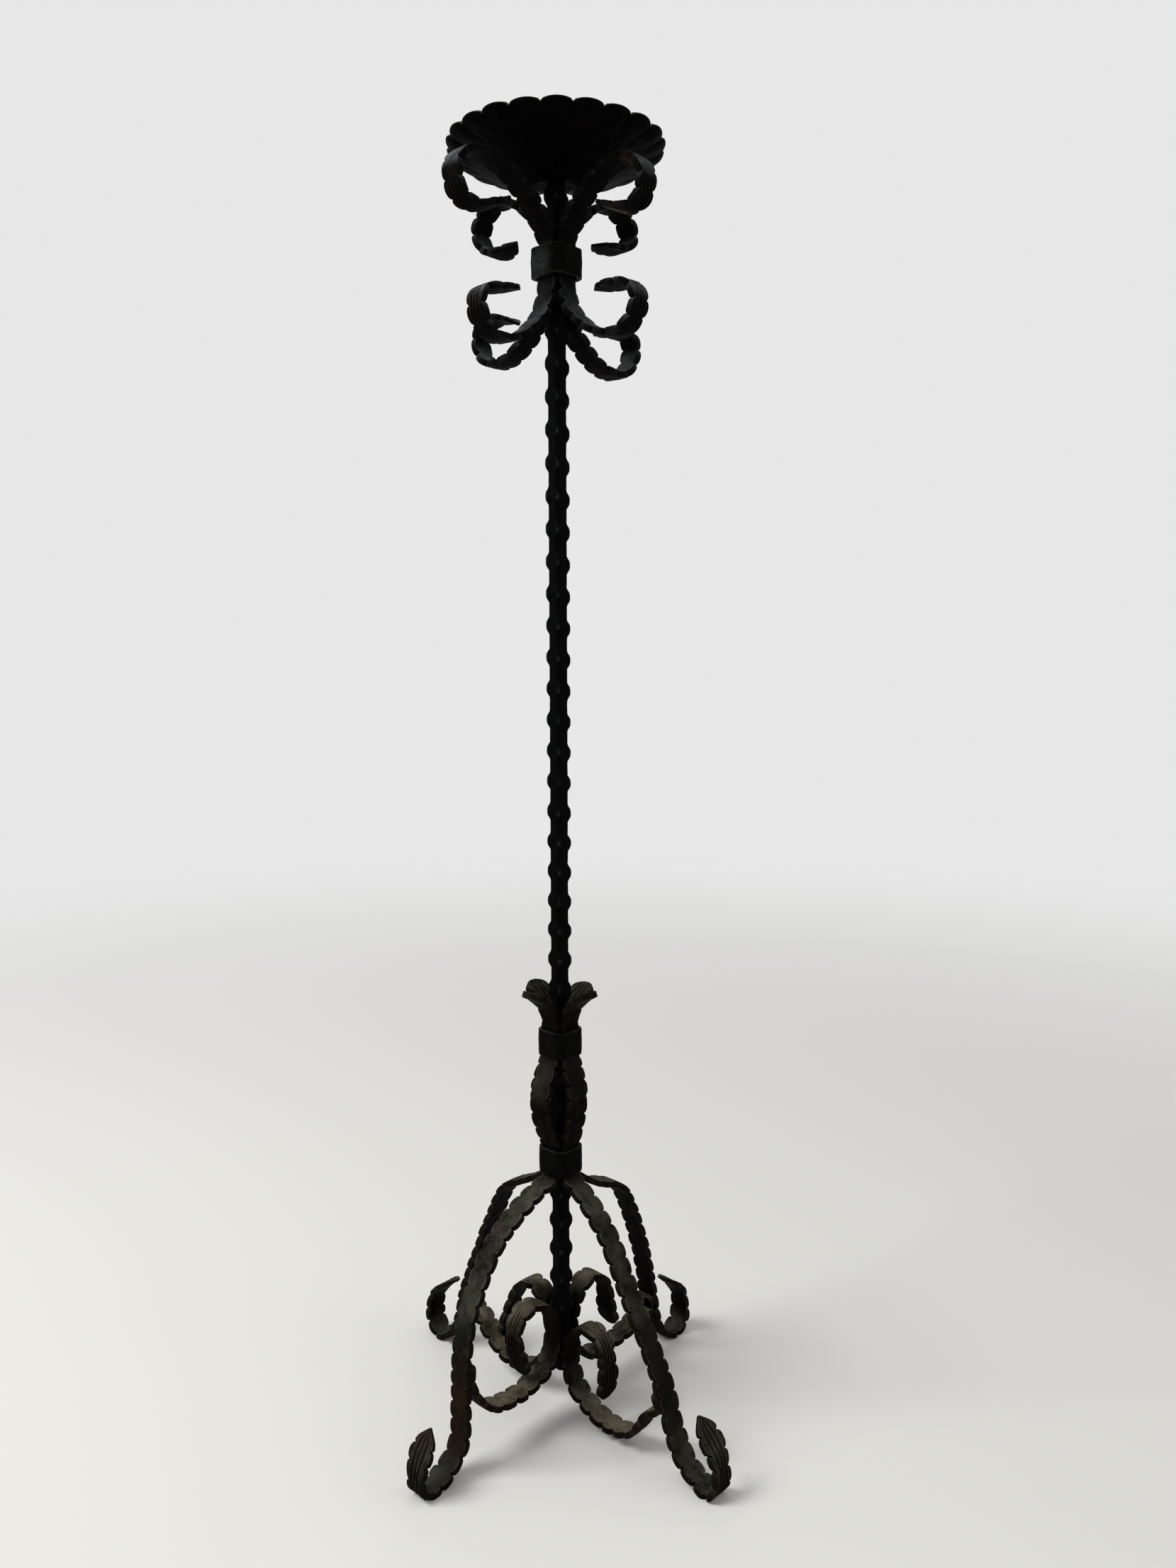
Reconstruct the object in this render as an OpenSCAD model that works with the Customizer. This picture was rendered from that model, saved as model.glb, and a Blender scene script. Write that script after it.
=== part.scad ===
// Wrought-iron torchere candle stand.
// A square bar carries a fluted drip pan and its pricket. Four scalloped straps
// spread from two collars as legs, four more as double scrolls under the pan,
// and four short scrolls tie the legs to the foot of the bar.
// Origin on the floor under the bar, +Z up, front towards -Y.

/* [Stem] */
// Side of the square bar
stem_side = 12; // [11:0.5:14]
// Height of the lower end of the bar above the floor
stem_foot_z = 32; // [26:1:38]
// Distance from one hammered bead to the next along the bar
bead_pitch = 22.75; // [19:0.25:27]
// Length of one bead
bead_length = 15; // [12:0.5:17]
// Distance from the underside of the pan down to the middle of the first bead
bead_drop = 13.4; // [11:0.1:16]
// Width across the hammered corners between two beads
stem_neck = 12.2; // [12:0.2:13.6]

/* [Strap] */
// Thickness of the scalloped strap
strap_t = 5; // [4:0.2:5.6]
// Width of the leg straps across the lobes
leg_w = 18.5; // [14:0.5:20]
// Width of the scroll straps across the lobes
scroll_w = 17.5; // [13:0.5:19]
// Length of one lobe of the scalloped edge
lobe_pitch = 12; // [9:0.5:15]
// Depth of the notch between two lobes
notch = 2.8; // [1:0.1:3]
// Length of the leaf at each strap end
leaf_length = 34; // [26:1:38]
// How much wider than the strap the leaf is, each side
leaf_swell = 1.5; // [0:0.25:2.5]

/* [Legs] */
// Distance from the axis to where a foot meets the floor
leg_reach = 140; // [120:2:165]
// Height of the underside of the lower leg collar
leg_collar_z = 192; // [180:1:205]
// Height of both leg collars
leg_collar_h = 20; // [14:1:24]
// Open length between the two leg collars
belly_length = 72; // [60:1:85]
// How far the straps belly out between the collars
belly_out = 12.5; // [9:0.5:16]
// How far the leaves above the collars lean out
leaf_lean = 25; // [18:1:30]
// Rise of the leaves above the upper leg collar
leaf_rise = 29; // [25:1:36]
// Depth of the flat that each foot is dressed to
foot_flat = 0.4; // [0.2:0.1:0.6]

/* [Scrolls] */
// Distance from the underside of the pan down to the underside of the top collar
top_collar_drop = 63; // [58:1:80]
// Height of the top collar
top_collar_h = 20; // [14:1:22]
// Reach of the scrolls below the top collar
low_scroll_reach = 69; // [58:1:80]
// Drop of the scrolls below the top collar
low_scroll_drop = 50; // [42:1:58]
// Reach of the scrolls above the top collar
high_scroll_reach = 74; // [62:1:84]
// Rise of the scrolls above the top collar
high_scroll_rise = 45; // [38:1:47]

/* [Collars] */
// Wall of the top collar
top_collar_wall = 3.7; // [3:0.1:4.4]
// Wall of the two leg collars
leg_collar_wall = 2.5; // [2.2:0.1:3.6]
// Outer corner radius of the collars
collar_round = 8; // [6:0.5:9]
// Corner radius of the bundle that the collars grip
bundle_round = 3; // [2:0.25:4]
// Clearance between pieces that are closed up hot
fit = 0.25; // [0.15:0.05:0.35]

/* [Drip pan] */
// Height of the underside of the pan floor
pan_z = 912; // [906:1:926]
// Wall of the pan
pan_wall = 2; // [1.5:0.1:2.6]
// Radius of the flat pan floor
pan_floor_r = 15; // [15:1:24]
// Radius across the tops of the flutes
pan_r = 77.5; // [68:0.5:88]
// Rise of the pan from the underside of its floor to the flute tops
pan_rise = 26.2; // [24:0.2:34]
// Number of flutes round the rim
flute_count = 22; // [16:1:26]
// Radial length of the flutes
flute_length = 16; // [12:1:20]
// How far the valley between two flutes is drawn in
flute_in = 3; // [1.5:0.25:4]
// How far the valley between two flutes is pressed down
flute_down = 3; // [2:0.25:5]

/* [Pricket] */
// Diameter of the round tenon on top of the bar
tenon_d = 8; // [6:0.5:9]
// Length of the tenon above the pan floor
tenon_stand = 5; // [4:0.5:7]
// Diameter of the pricket foot
pricket_foot_d = 28; // [22:1:32]
// Thickness of the pricket foot at its edge
pricket_foot_t = 2; // [1.5:0.25:3]
// Diameter of the spike at its root
spike_d = 11; // [10.5:0.25:12]
// Length of the spike above the pricket foot
spike_length = 42; // [30:1:50]

/* [Hidden] */

// The four corners, in the order front left, front right, back right, back left.
CORNER_ANGLES = [-135, -45, 45, 135];

// Colours of the iron: bare forged scale, and the paler bloom on the collars.
IRON = [0.16, 0.17, 0.16];
IRON_BLOOM = [0.24, 0.26, 0.25];
IRON_BROWN = [0.22, 0.17, 0.14];

// Centre line of a strap that lies on a flat of the bar.
seat_r = stem_side / 2 + fit + strap_t / 2;
// Where the collars sit, and the outer face of what they hold.
belly_z = leg_collar_z + leg_collar_h;
upper_collar_z = belly_z + belly_length;
upper_collar_top = upper_collar_z + leg_collar_h;
top_collar_z = pan_z - top_collar_drop;
top_collar_top = top_collar_z + top_collar_h;
bundle_half = seat_r + strap_t / 2 + fit;
grip_half = bundle_half - bundle_round + sqrt(2 * bundle_round * fit - fit * fit) - fit;
// Height of the centre line of a strap that stands on the floor.
foot_z = strap_t / 2 - foot_flat;
// How far to each side of a section the heading of a strap is taken.
heading_step = 0.8;
// How far a cut runs past the face that it starts from.
overrun = 1;
// Fillet between the foot and the spike of the pricket.
pricket_fillet = 1.5;
// Blunt radius of the spike's point, and its waist as a share of the root.
spike_tip_r = 0.6;
spike_waist = 0.62;
// The hammer draws the corners in this much less at a bead than the bar's own corner.
bead_ease = 0.15;
// The beads of one pair of corners lie this much further along the bar.
bead_stagger = 2;

// Stations along one lobe, as shares of its length. The first one is the notch.
LOBE_STATIONS = [0, 0.15, 0.35, 0.65, 0.85];
// Outline of a pointed leaf, and of the shell on the legs and base scrolls, from the tip: share
// of the leaf length, share of its full width.
SPEAR = [
    [0, 0.1], [0.1, 0.45], [0.2, 0.75], [0.32, 0.96], [0.45, 1], [0.65, 1], [0.85, 0.95],
    [1, 0.92], [1.4, 1]
];
SHELL = [
    [0, 0.45], [0.05, 0.76], [0.12, 0.94], [0.22, 1], [0.5, 0.98], [0.75, 0.9], [1, 0.88], [1.4, 1]
];
// A pointed leaf is drawn thin towards its tip: share of its length, share of strap_t.
THIN = [[0, 0.4], [0.3, 0.7], [0.75, 1]];

// Curl of the scrolls by the top collar, from the collar to its far side:
// per cent of the reach, per cent of the rise or drop.
CURL = [
    [0, 8], [3, 22], [10, 40], [20, 58], [32, 74], [46, 89], [62, 98], [78, 99],
    [91, 89], [99, 71], [99, 52]
];
// How much further out an opened curl leaves the collar, at each point of CURL.
OPENING = [0, 1.5, 5, 6.5, 6, 4.5, 2.5, 0, 0, 0, 0];
// Each corner was bent by eye. Reach and depth of its curl in per cent of the plain
// one, the way its leaf comes back from the far side, and how far it is opened.
HIGH_BENDS = [
    [117.5, 100, [[94, 30], [80, 22], [60, 33], [41, 52]], 0],
    [100.5, 99, [[93, 32.5], [77, 27], [57, 38], [40, 51]], 0],
    [92.5, 96, [[90, 39], [74, 33.5], [57, 30.5], [41, 27.5]], 0],
    [94.5, 102, [[91, 34], [77, 23], [60, 23], [44, 31]], 0]
];
LOW_BENDS = [
    [97, 102, [[90, 41], [75, 37], [58, 33], [41, 28]], -0.9],
    [98, 94, [[90, 37], [75, 33], [58, 32], [41, 31]], -0.9],
    [104, 113, [[91, 45], [77, 44], [59, 47], [42, 50]], -1.6],
    [103.5, 98, [[91, 39], [76, 33], [58, 37], [42, 48]], -0.5]
];
// Lean and rise of each leaf above the upper collar, and belly of its strap between
// the collars, in per cent of the plain one.
HEAD_BENDS = [[100, 112, 100], [98, 110, 68], [90, 94, 80], [88, 103, 100]];

// Legs below the lower leg collar, from the collar to the leaf point:
// per cent of the reach from the bar, per cent of the height of the collar.
LEG_SHAPES = [
    [[0, 100], [1.5, 98], [14, 95.5], [33, 89], [50, 79], [65.3, 61.1], [70, 48], [71.3, 37.5],
     [71.9, 25], [73.3, 12], [81.2, 4.5], [94, 0], [102.6, 3], [101.8, 12.5], [93, 23.5]],
    [[0, 100], [1.5, 98], [11.5, 93.5], [30, 81], [46, 62], [60.7, 45.4], [69.2, 34.6],
     [73.8, 26.5], [81, 13.1], [88.3, 5.4], [97.5, 1.5], [106, 0], [111.2, 5.5], [107.8, 16.5], [95.2, 26.5]],
    [[0, 100], [2, 97.5], [19.5, 89.3], [41.2, 82.8], [52.8, 70.8], [64.8, 49], [70.8, 32.5],
     [73.8, 22.5], [76.8, 13], [83.8, 4], [96.5, 0], [105.5, 5], [104.7, 15.5], [97, 23],
     [85, 28.5]],
    [[0, 100], [2, 97.5], [20.5, 90.5], [38, 83.7], [52, 66.5], [63.7, 48.8], [74, 32.5],
     [77, 26.5], [81.5, 14.5], [89, 4.5], [102, 0], [110, 6], [108.5, 16], [99.5, 23.5],
     [87.5, 28.5]]
];
// Point of every leg, counted from the collar, where its base scroll is welded on.
WELD_POINT = 7;
// Base scrolls from the leaf point over the crest, down the bar and out to the leg.
BASE_SHAPES = [
    [[25, 23.5], [30, 32.5], [32, 41], [29, 46.3], [22, 49.3], [13, 48.4], [5, 44], [0, 36.5],
     [0, 28.5], [5, 21.5], [14, 18], [26, 16], [39, 16], [52, 18.5], [62, 25.5]],
    [[28.2, 13.5], [30.2, 21.5], [29.3, 30.3], [26, 35.6], [19, 38.5], [11, 37.2], [4, 33], [0, 26.5],
     [1, 18.5], [6.8, 10.8], [17, 6], [29, 3.4], [41.2, 3.6], [53, 7.6], [62, 17.5]],
    [[37.2, 22.5], [33.2, 29.5], [31.4, 38.8], [27, 45], [19, 48.5], [11, 47.5], [4, 43], [0, 34.5],
     [1, 25.5], [8, 18], [18, 14], [30, 13.5], [44, 14], [56, 16], [66, 18.5]],
    [[41, 16.5], [38, 25.5], [33, 35.5], [26, 43], [18, 46.5], [10, 45], [3, 40], [0, 31.5],
     [2, 22.5], [8, 16], [16, 10.5], [27, 7.5], [40, 8], [53, 13], [64, 19.5]]
];

// ---- Paths -------------------------------------------------------------------

// Smooth curve through the points p, with n steps from each point to the next.
function knot(p, i) = p[min(max(i, 0), len(p) - 1)];
function spline_at(a, b, c, d, t) =
    b + t * ((c - a) + t * ((2 * a - 5 * b + 4 * c - d) + t * (3 * b - a - 3 * c + d))) / 2;
function spline(p, n = 8) = concat(
    [for (i = [0:len(p) - 2], j = [0:n - 1])
        spline_at(knot(p, i - 1), p[i], p[i + 1], knot(p, i + 2), j / n)],
    [p[len(p) - 1]]
);
function reversed(p) = [for (i = [len(p) - 1:-1:0]) p[i]];

// Running length of a line of points.
function running(p) = [
    for (i = 0, s = 0; i < len(p);
         s = s + (i + 1 < len(p) ? norm(p[i + 1] - p[i]) : 0), i = i + 1) s
];
function along(lengths, p, s) = [
    lookup(s, [for (i = [0:len(p) - 1]) [lengths[i], p[i].x]]),
    lookup(s, [for (i = [0:len(p) - 1]) [lengths[i], p[i].y]])
];
function unit(v) = v / norm(v);
// The side of a path that faces away from the bar where the path runs down it.
function outward(tangent) = [-tangent.y, tangent.x];

// A point that is given in per cent of a size, from an origin.
function scaled(p, origin, size) = [for (i = [0, 1]) origin[i] + p[i] / 100 * size[i]];
// A point of a leg or base scroll, given in per cent.
function base_point(p) = scaled(p, [seat_r, foot_z], [leg_reach - seat_r, leg_collar_z - foot_z]);
// A curl by the top collar, from the collar to its leaf point.
function curl_path(z, reach, rise, bend) = [
    for (p = concat(CURL + bend[3] * [for (out = OPENING) [out, 0]], bend[2]))
        scaled(p, [seat_r, z], [reach * bend[0] / 100, rise * bend[1] / 100])
];

// Leaves and belly of a leg strap, down to the underside of the lower collar.
function leg_head(bend) = concat(
    [for (p = [[100, 100], [78, 92], [50, 79], [27, 63], [11, 42], [2, 16]])
        scaled(p, [seat_r, upper_collar_top], [leaf_lean * bend[0] / 100, leaf_rise * bend[1] / 100])],
    [[seat_r, upper_collar_top - leg_collar_h / 3], [seat_r, upper_collar_z + leg_collar_h / 3]],
    [for (p = [[8, 98], [42, 85], [82, 68], [100, 52], [84, 34], [42, 15], [8, 2]])
        scaled(p, [seat_r, belly_z], [belly_out * bend[2] / 100, belly_length])],
    [[seat_r, belly_z - leg_collar_h / 3], [seat_r, leg_collar_z + leg_collar_h / 3]]
);
function leg_path(corner) =
    concat(leg_head(HEAD_BENDS[corner]), [for (p = LEG_SHAPES[corner]) base_point(p)]);

// A base scroll ends in a lap that lies along the inner face of its leg.
function lap_point(corner, slide) =
    let (
        shape = LEG_SHAPES[corner],
        heading = unit(base_point(shape[WELD_POINT + 1]) - base_point(shape[WELD_POINT - 1])),
        inner = base_point(shape[WELD_POINT]) - outward(heading) * (strap_t + fit)
    ) inner + heading * slide;
function base_scroll_path(corner) = concat(
    [for (p = BASE_SHAPES[corner]) base_point(p)],
    [lap_point(corner, lobe_pitch / 2), lap_point(corner, -lobe_pitch / 2)]
);

// A double scroll: high leaf point, high curl, collar, low curl, low leaf point.
function double_scroll_path(corner) = concat(
    reversed(curl_path(top_collar_top, high_scroll_reach, high_scroll_rise, HIGH_BENDS[corner])),
    [[seat_r, top_collar_top - top_collar_h / 3], [seat_r, top_collar_z + top_collar_h / 3]],
    curl_path(top_collar_z, low_scroll_reach, -low_scroll_drop, LOW_BENDS[corner])
);

// ---- Scalloped strap ---------------------------------------------------------

// Round lobe between two notches, 0 at the notch and 1 in the middle.
function lobe(share) = sqrt(max(0, 1 - pow(2 * share - 1, 2)));
// Half the width of a strap at s, with a leaf at each end that has one.
function leaf_share(s, has_leaf, outline = SPEAR) = has_leaf ? lookup(s / leaf_length, outline) : 1;
function thin_share(s, is_spear) = is_spear ? lookup(s / leaf_length, THIN) : 1;
function leaf_extra(s, has_leaf) =
    has_leaf ? leaf_swell * max(0, sin(180 * min(1, s / leaf_length))) : 0;
function half_width(s, total, width, share, end_leaf, outline) =
    (width / 2 - notch + notch * lobe(share) + leaf_extra(s, true) + leaf_extra(total - s, end_leaf))
    * leaf_share(s, true, outline) * leaf_share(total - s, end_leaf);

// Four straps share the bar, so near it each is mitred to its own quarter, and
// its outer corners are eased to the round corners inside the collars.
function mitred(half, radius) = min(half, max(0.5, abs(radius) - fit));
function eased(half, radius) = min(half, max(0.5, grip_half + abs(radius) - seat_r - strap_t / 2));
function grounded(p) = [p.x, p.y, max(p.z, 0)];
function strap_ring(at, heading, half, thin) =
    let (
        face = outward(heading) * thin * strap_t / 2,
        outer = eased(half, at.x + face.x),
        inner = mitred(half, at.x - face.x),
        top = at + face,
        under = at - face
    ) [
        grounded([top.x, -outer, top.y]), grounded([top.x, outer, top.y]),
        grounded([under.x, inner, under.y]), grounded([under.x, -inner, under.y])
    ];

module strap(path, width, end_leaf, angle, outline = SPEAR) {
    line = spline(path);
    lengths = running(line);
    total = lengths[len(line) - 1];
    lobes = round(total / lobe_pitch);
    pitch = total / lobes;
    stations = concat([for (i = [0:lobes - 1], u = LOBE_STATIONS) [(i + u) * pitch, u]], [[total, 0]]);
    rings = [
        for (st = stations)
            let (
                ahead = along(lengths, line, min(total, st[0] + heading_step)),
                behind = along(lengths, line, max(0, st[0] - heading_step))
            )
            strap_ring(along(lengths, line, st[0]), unit(ahead - behind),
                half_width(st[0], total, width, st[1], end_leaf, outline),
                thin_share(st[0], outline == SPEAR) * thin_share(total - st[0], end_leaf))
    ];
    rotate([0, 0, angle]) skin(rings);
}

// Closed skin over a row of rings that have four points each.
module skin(rings) {
    last = 4 * (len(rings) - 1);
    sides = [
        for (i = [0:len(rings) - 2], k = [0:3])
            let (a = 4 * i + k, b = 4 * i + (k + 1) % 4)
            each [[a, b, b + 4], [a, b + 4, a + 4]]
    ];
    ends = [[2, 1, 0], [3, 2, 0], [last, last + 1, last + 2], [last, last + 2, last + 3]];
    polyhedron(points = [for (ring = rings) each ring], faces = concat(sides, ends));
}

// ---- Stem --------------------------------------------------------------------

// Corner line of the bar: flat necks, with a rounded bead at every pitch.
bead_rise = (stem_side * sqrt(2) - stem_neck) / 2 - bead_ease;
function bead_corner(z, side) = [
    for (u = [-1, -0.72, -0.3, 0.3, 0.72, 1])
        [side * (stem_neck / 2 + bead_rise * sqrt(max(0, 1 - u * u))), z + u * bead_length / 2]
];
// Beads from the top of the bar down; shift moves one side's beads along the bar.
function beads(side, shift) = [
    for (z = [pan_z - bead_drop : -bead_pitch : stem_foot_z + bead_pitch / 2])
        each reversed(bead_corner(z + shift * (z - stem_foot_z) / (pan_z - stem_foot_z), side))
];
module corner_profile(shift) {
    half = stem_neck / 2;
    polygon(concat(
        [[half, pan_z]], beads(1, shift), [[half, stem_foot_z]],
        [[-half, stem_foot_z]], reversed(beads(-1, -shift)), [[-half, pan_z]]
    ));
}

module stem() {
    color(IRON) union() {
        intersection() {
            translate([0, 0, stem_foot_z])
                rotate([0, 0, 45])
                    translate([-stem_side / 2, -stem_side / 2, 0])
                        cube([stem_side, stem_side, pan_z - stem_foot_z]);
            translate([0, stem_side, 0])
                rotate([90, 0, 0]) linear_extrude(2 * stem_side) corner_profile(-bead_stagger);
            translate([-stem_side, 0, 0])
                rotate([90, 0, 90]) linear_extrude(2 * stem_side) corner_profile(0);
        }
        translate([0, 0, pan_z - overrun])
            cylinder(d = tenon_d, h = overrun + pan_wall + tenon_stand, $fn = 48);
    }
}

// ---- Pan and pricket ---------------------------------------------------------

// One section of the pan, as [radius, height] over a valley and over a flute top.
function pan_rings() =
    let (
        flute_r = pan_r - flute_length,
        slope_top = pan_z + (pan_rise - flute_down) * (flute_r - pan_floor_r) / (pan_r - pan_floor_r),
        valley = [pan_r - flute_in, pan_z + pan_rise - flute_down],
        hole = tenon_d / 2 + fit,
        foot = [pan_floor_r, pan_z],
        bend = [flute_r, slope_top],
        lift = [0, pan_wall],
        under = [
            [[hole, pan_z], [hole, pan_z]],
            [foot, foot],
            [bend, bend],
            [bend + 0.45 * (valley - bend), [flute_r + 0.6 * flute_length, slope_top + 0.1 * pan_rise]],
            [bend + 0.8 * (valley - bend), [flute_r + 0.92 * flute_length, slope_top + 0.24 * pan_rise]],
            [valley, [pan_r, pan_z + pan_rise]]
        ],
        over = [for (pair = under)
            [for (p = pair) p + lift - [pan_wall * max(0, (p.x - flute_r) / flute_length), 0]]]
    ) concat(under, [
        [valley - [pan_wall, 0], [pan_r - pan_wall, pan_z + pan_rise]],
        over[4], over[3], over[2], over[1], over[0]
    ]);

module drip_pan() {
    section = pan_rings();
    turns = [for (i = [0:flute_count - 1], u = LOBE_STATIONS) [(i + u - 0.5) * 360 / flute_count - 90, u]];
    count = len(turns);
    rows = len(section);
    points = [
        for (pair = section, turn = turns)
            let (p = pair[0] + (pair[1] - pair[0]) * lobe(turn[1]))
            [p.x * cos(turn[0]), p.x * sin(turn[0]), p.y]
    ];
    faces = [
        for (j = [0:rows - 1], i = [0:count - 1])
            let (
                a = j * count + i,
                b = j * count + (i + 1) % count,
                c = (j + 1) % rows * count + (i + 1) % count,
                d = (j + 1) % rows * count + i
            )
            each [[a, c, b], [a, d, c]]
    ];
    color(IRON_BROWN) polyhedron(points = points, faces = faces);
}

module pricket() {
    foot_r = pricket_foot_d / 2;
    root_r = spike_d / 2;
    base = pan_z + pan_wall;
    foot_top = base + pricket_foot_t;
    shoulder = foot_top + tenon_stand;
    color(IRON) difference() {
        rotate_extrude($fn = 64)
            polygon([
                [0, base], [foot_r, base], [foot_r, foot_top],
                [root_r + pricket_fillet, foot_top], [root_r, foot_top + pricket_fillet], [root_r, shoulder],
                [root_r * spike_waist, shoulder + spike_length / 2],
                [spike_tip_r, foot_top + spike_length], [0, foot_top + spike_length]
            ]);
        translate([0, 0, base - overrun])
            cylinder(d = tenon_d + 2 * fit, h = overrun + tenon_stand + fit, $fn = 48);
    }
}

// ---- Collars -----------------------------------------------------------------

module rounded_square(half, corner) {
    square([2 * half, 2 * (half - corner)], center = true);
    square([2 * (half - corner), 2 * half], center = true);
    for (sx = [-1, 1], sy = [-1, 1])
        translate([sx * (half - corner), sy * (half - corner)]) circle(r = corner, $fn = 48);
}

// A band closed round the bar and its four straps.
module collar(z, height, wall) {
    color(IRON_BLOOM) translate([0, 0, z]) rotate([0, 0, 45]) linear_extrude(height)
        difference() {
            rounded_square(bundle_half + wall, collar_round);
            rounded_square(bundle_half, bundle_round);
        }
}
module top_collar() { collar(top_collar_z, top_collar_h, top_collar_wall); }
module upper_leg_collar() { collar(upper_collar_z, leg_collar_h, leg_collar_wall); }
module lower_leg_collar() { collar(leg_collar_z, leg_collar_h, leg_collar_wall); }

// ---- Straps ------------------------------------------------------------------

module leg(corner) {
    color(IRON) strap(leg_path(corner), leg_w, true, CORNER_ANGLES[corner], SHELL);
}
module double_scroll(corner) {
    color(IRON) strap(double_scroll_path(corner), scroll_w, true, CORNER_ANGLES[corner]);
}
module base_scroll(corner) {
    color(IRON_BROWN)
        strap(base_scroll_path(corner), scroll_w, false, CORNER_ANGLES[corner], SHELL);
}

stem();
drip_pan();
pricket();
top_collar();
upper_leg_collar();
lower_leg_collar();
double_scroll(0);  // scroll_front_left
double_scroll(1);  // scroll_front_right
double_scroll(2);  // scroll_back_right
double_scroll(3);  // scroll_back_left
leg(0);  // leg_front_left
leg(1);  // leg_front_right
leg(2);  // leg_back_right
leg(3);  // leg_back_left
base_scroll(0);  // base_scroll_front_left
base_scroll(1);  // base_scroll_front_right
base_scroll(2);  // base_scroll_back_right
base_scroll(3);  // base_scroll_back_left
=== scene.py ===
"""Wrought-iron torchere candle stand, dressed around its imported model.

The straps are made as a smith makes them: each is drawn out straight, with its
lobes, leaves and ribs, and is then bent along its own path. The bar, the bands,
the pan and the pricket are shaped in the same way from simple stock. Sizes are
in millimetres up to the points of each mesh, which are in metres, and places
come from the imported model.
"""

from __future__ import annotations

import logging
import math
from collections.abc import Callable
from dataclasses import dataclass
from enum import Enum

import bmesh
import bpy
import numpy as np
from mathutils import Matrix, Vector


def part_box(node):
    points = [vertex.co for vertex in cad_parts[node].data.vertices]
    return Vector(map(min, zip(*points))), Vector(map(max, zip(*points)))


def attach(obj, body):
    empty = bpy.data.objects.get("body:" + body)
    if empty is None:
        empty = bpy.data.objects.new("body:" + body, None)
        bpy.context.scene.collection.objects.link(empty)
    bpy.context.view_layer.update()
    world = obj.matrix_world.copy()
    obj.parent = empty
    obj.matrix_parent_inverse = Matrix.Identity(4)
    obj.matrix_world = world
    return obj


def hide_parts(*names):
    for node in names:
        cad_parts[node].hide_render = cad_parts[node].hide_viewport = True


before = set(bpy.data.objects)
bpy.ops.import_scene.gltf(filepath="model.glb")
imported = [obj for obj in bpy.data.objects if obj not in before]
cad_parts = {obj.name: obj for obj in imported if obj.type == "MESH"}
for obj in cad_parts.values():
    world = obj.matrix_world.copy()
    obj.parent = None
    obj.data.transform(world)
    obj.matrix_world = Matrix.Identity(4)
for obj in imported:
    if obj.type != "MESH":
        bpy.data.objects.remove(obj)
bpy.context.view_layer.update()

LOG = logging.getLogger("candle_stand")
MM = 0.001
UPRIGHT = 0.01  # an edge of a primitive that climbs by more than this is upright
ROOT_BODY = "root"

Colour = tuple[float, float, float]
Point = tuple[float, float, float]
Shares = tuple[tuple[float, float], ...]


# ---- Work in the modelling window ------------------------------------------------


def take(piece: bpy.types.Object | None = None) -> None:
    """Leaves object mode with nothing selected, or only one piece, which is then active.

    Args:
        piece: The piece to select, if any.
    """
    if bpy.context.object and bpy.context.object.mode != "OBJECT":
        bpy.ops.object.mode_set(mode="OBJECT")
    bpy.ops.object.select_all(action="DESELECT")
    if piece:
        piece.select_set(True)
        bpy.context.view_layer.objects.active = piece


def edit(piece: bpy.types.Object, element: str, action: str = "DESELECT") -> None:
    """Opens a piece in edit mode.

    Args:
        piece: The object to edit.
        element: What is selected in edit mode: VERT, EDGE or FACE.
        action: SELECT where all of it starts selected.
    """
    take(piece)
    bpy.ops.object.mode_set(mode="EDIT")
    bpy.ops.mesh.select_mode(type=element)
    bpy.ops.mesh.select_all(action=action)


def close() -> None:
    """Goes back to object mode."""
    bpy.ops.object.mode_set(mode="OBJECT")


def pick(piece: bpy.types.Object, kind: str, wanted: Callable) -> None:
    """Selects elements of the piece in edit mode by their place or normal.

    Args:
        piece: The object in edit mode.
        kind: Which elements: verts, edges or faces.
        wanted: Says of one element whether it is selected.
    """
    shape = bmesh.from_edit_mesh(piece.data)
    for element in getattr(shape, kind):
        element.select_set(wanted(element))
    bmesh.update_edit_mesh(piece.data)


def cut_uprights(piece: bpy.types.Object, cuts: int) -> None:
    """Cuts each upright edge of the piece in edit mode that many times."""
    pick(piece, "edges", lambda line: abs(line.verts[0].co.z - line.verts[1].co.z) > UPRIGHT)
    bpy.ops.mesh.subdivide(number_cuts=cuts)


def points_of(piece: bpy.types.Object) -> np.ndarray:
    """Reads the places of a mesh's vertices.

    Args:
        piece: The object.

    Returns:
        One row of three numbers for each vertex.
    """
    flat = np.empty(len(piece.data.vertices) * 3)
    piece.data.vertices.foreach_get("co", flat)
    return flat.reshape(-1, 3)


def move_points(piece: bpy.types.Object, points: np.ndarray) -> None:
    """Puts the vertices of a mesh at these places."""
    piece.data.vertices.foreach_set("co", np.ascontiguousarray(points).ravel())
    piece.data.update()


def around_axis(radius: np.ndarray, angle: np.ndarray, height: np.ndarray) -> np.ndarray:
    """Returns places in metres from a distance, an angle and a height about the axis."""
    return np.stack([radius * np.cos(angle), radius * np.sin(angle), height], -1) * MM


def mark(piece: bpy.types.Object, name: str, values: np.ndarray) -> None:
    """Stores one number per vertex, which the materials read by its name."""
    layer = piece.data.attributes.new(name, "FLOAT", "POINT")
    layer.data.foreach_set("value", np.ascontiguousarray(values, dtype=np.float32))


def turn_faces_outwards(piece: bpy.types.Object) -> None:
    """Makes the faces of a closed piece point outwards.

    Args:
        piece: The object.
    """
    edit(piece, "FACE", "SELECT")
    bpy.ops.mesh.normals_make_consistent(inside=False)
    close()


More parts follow.
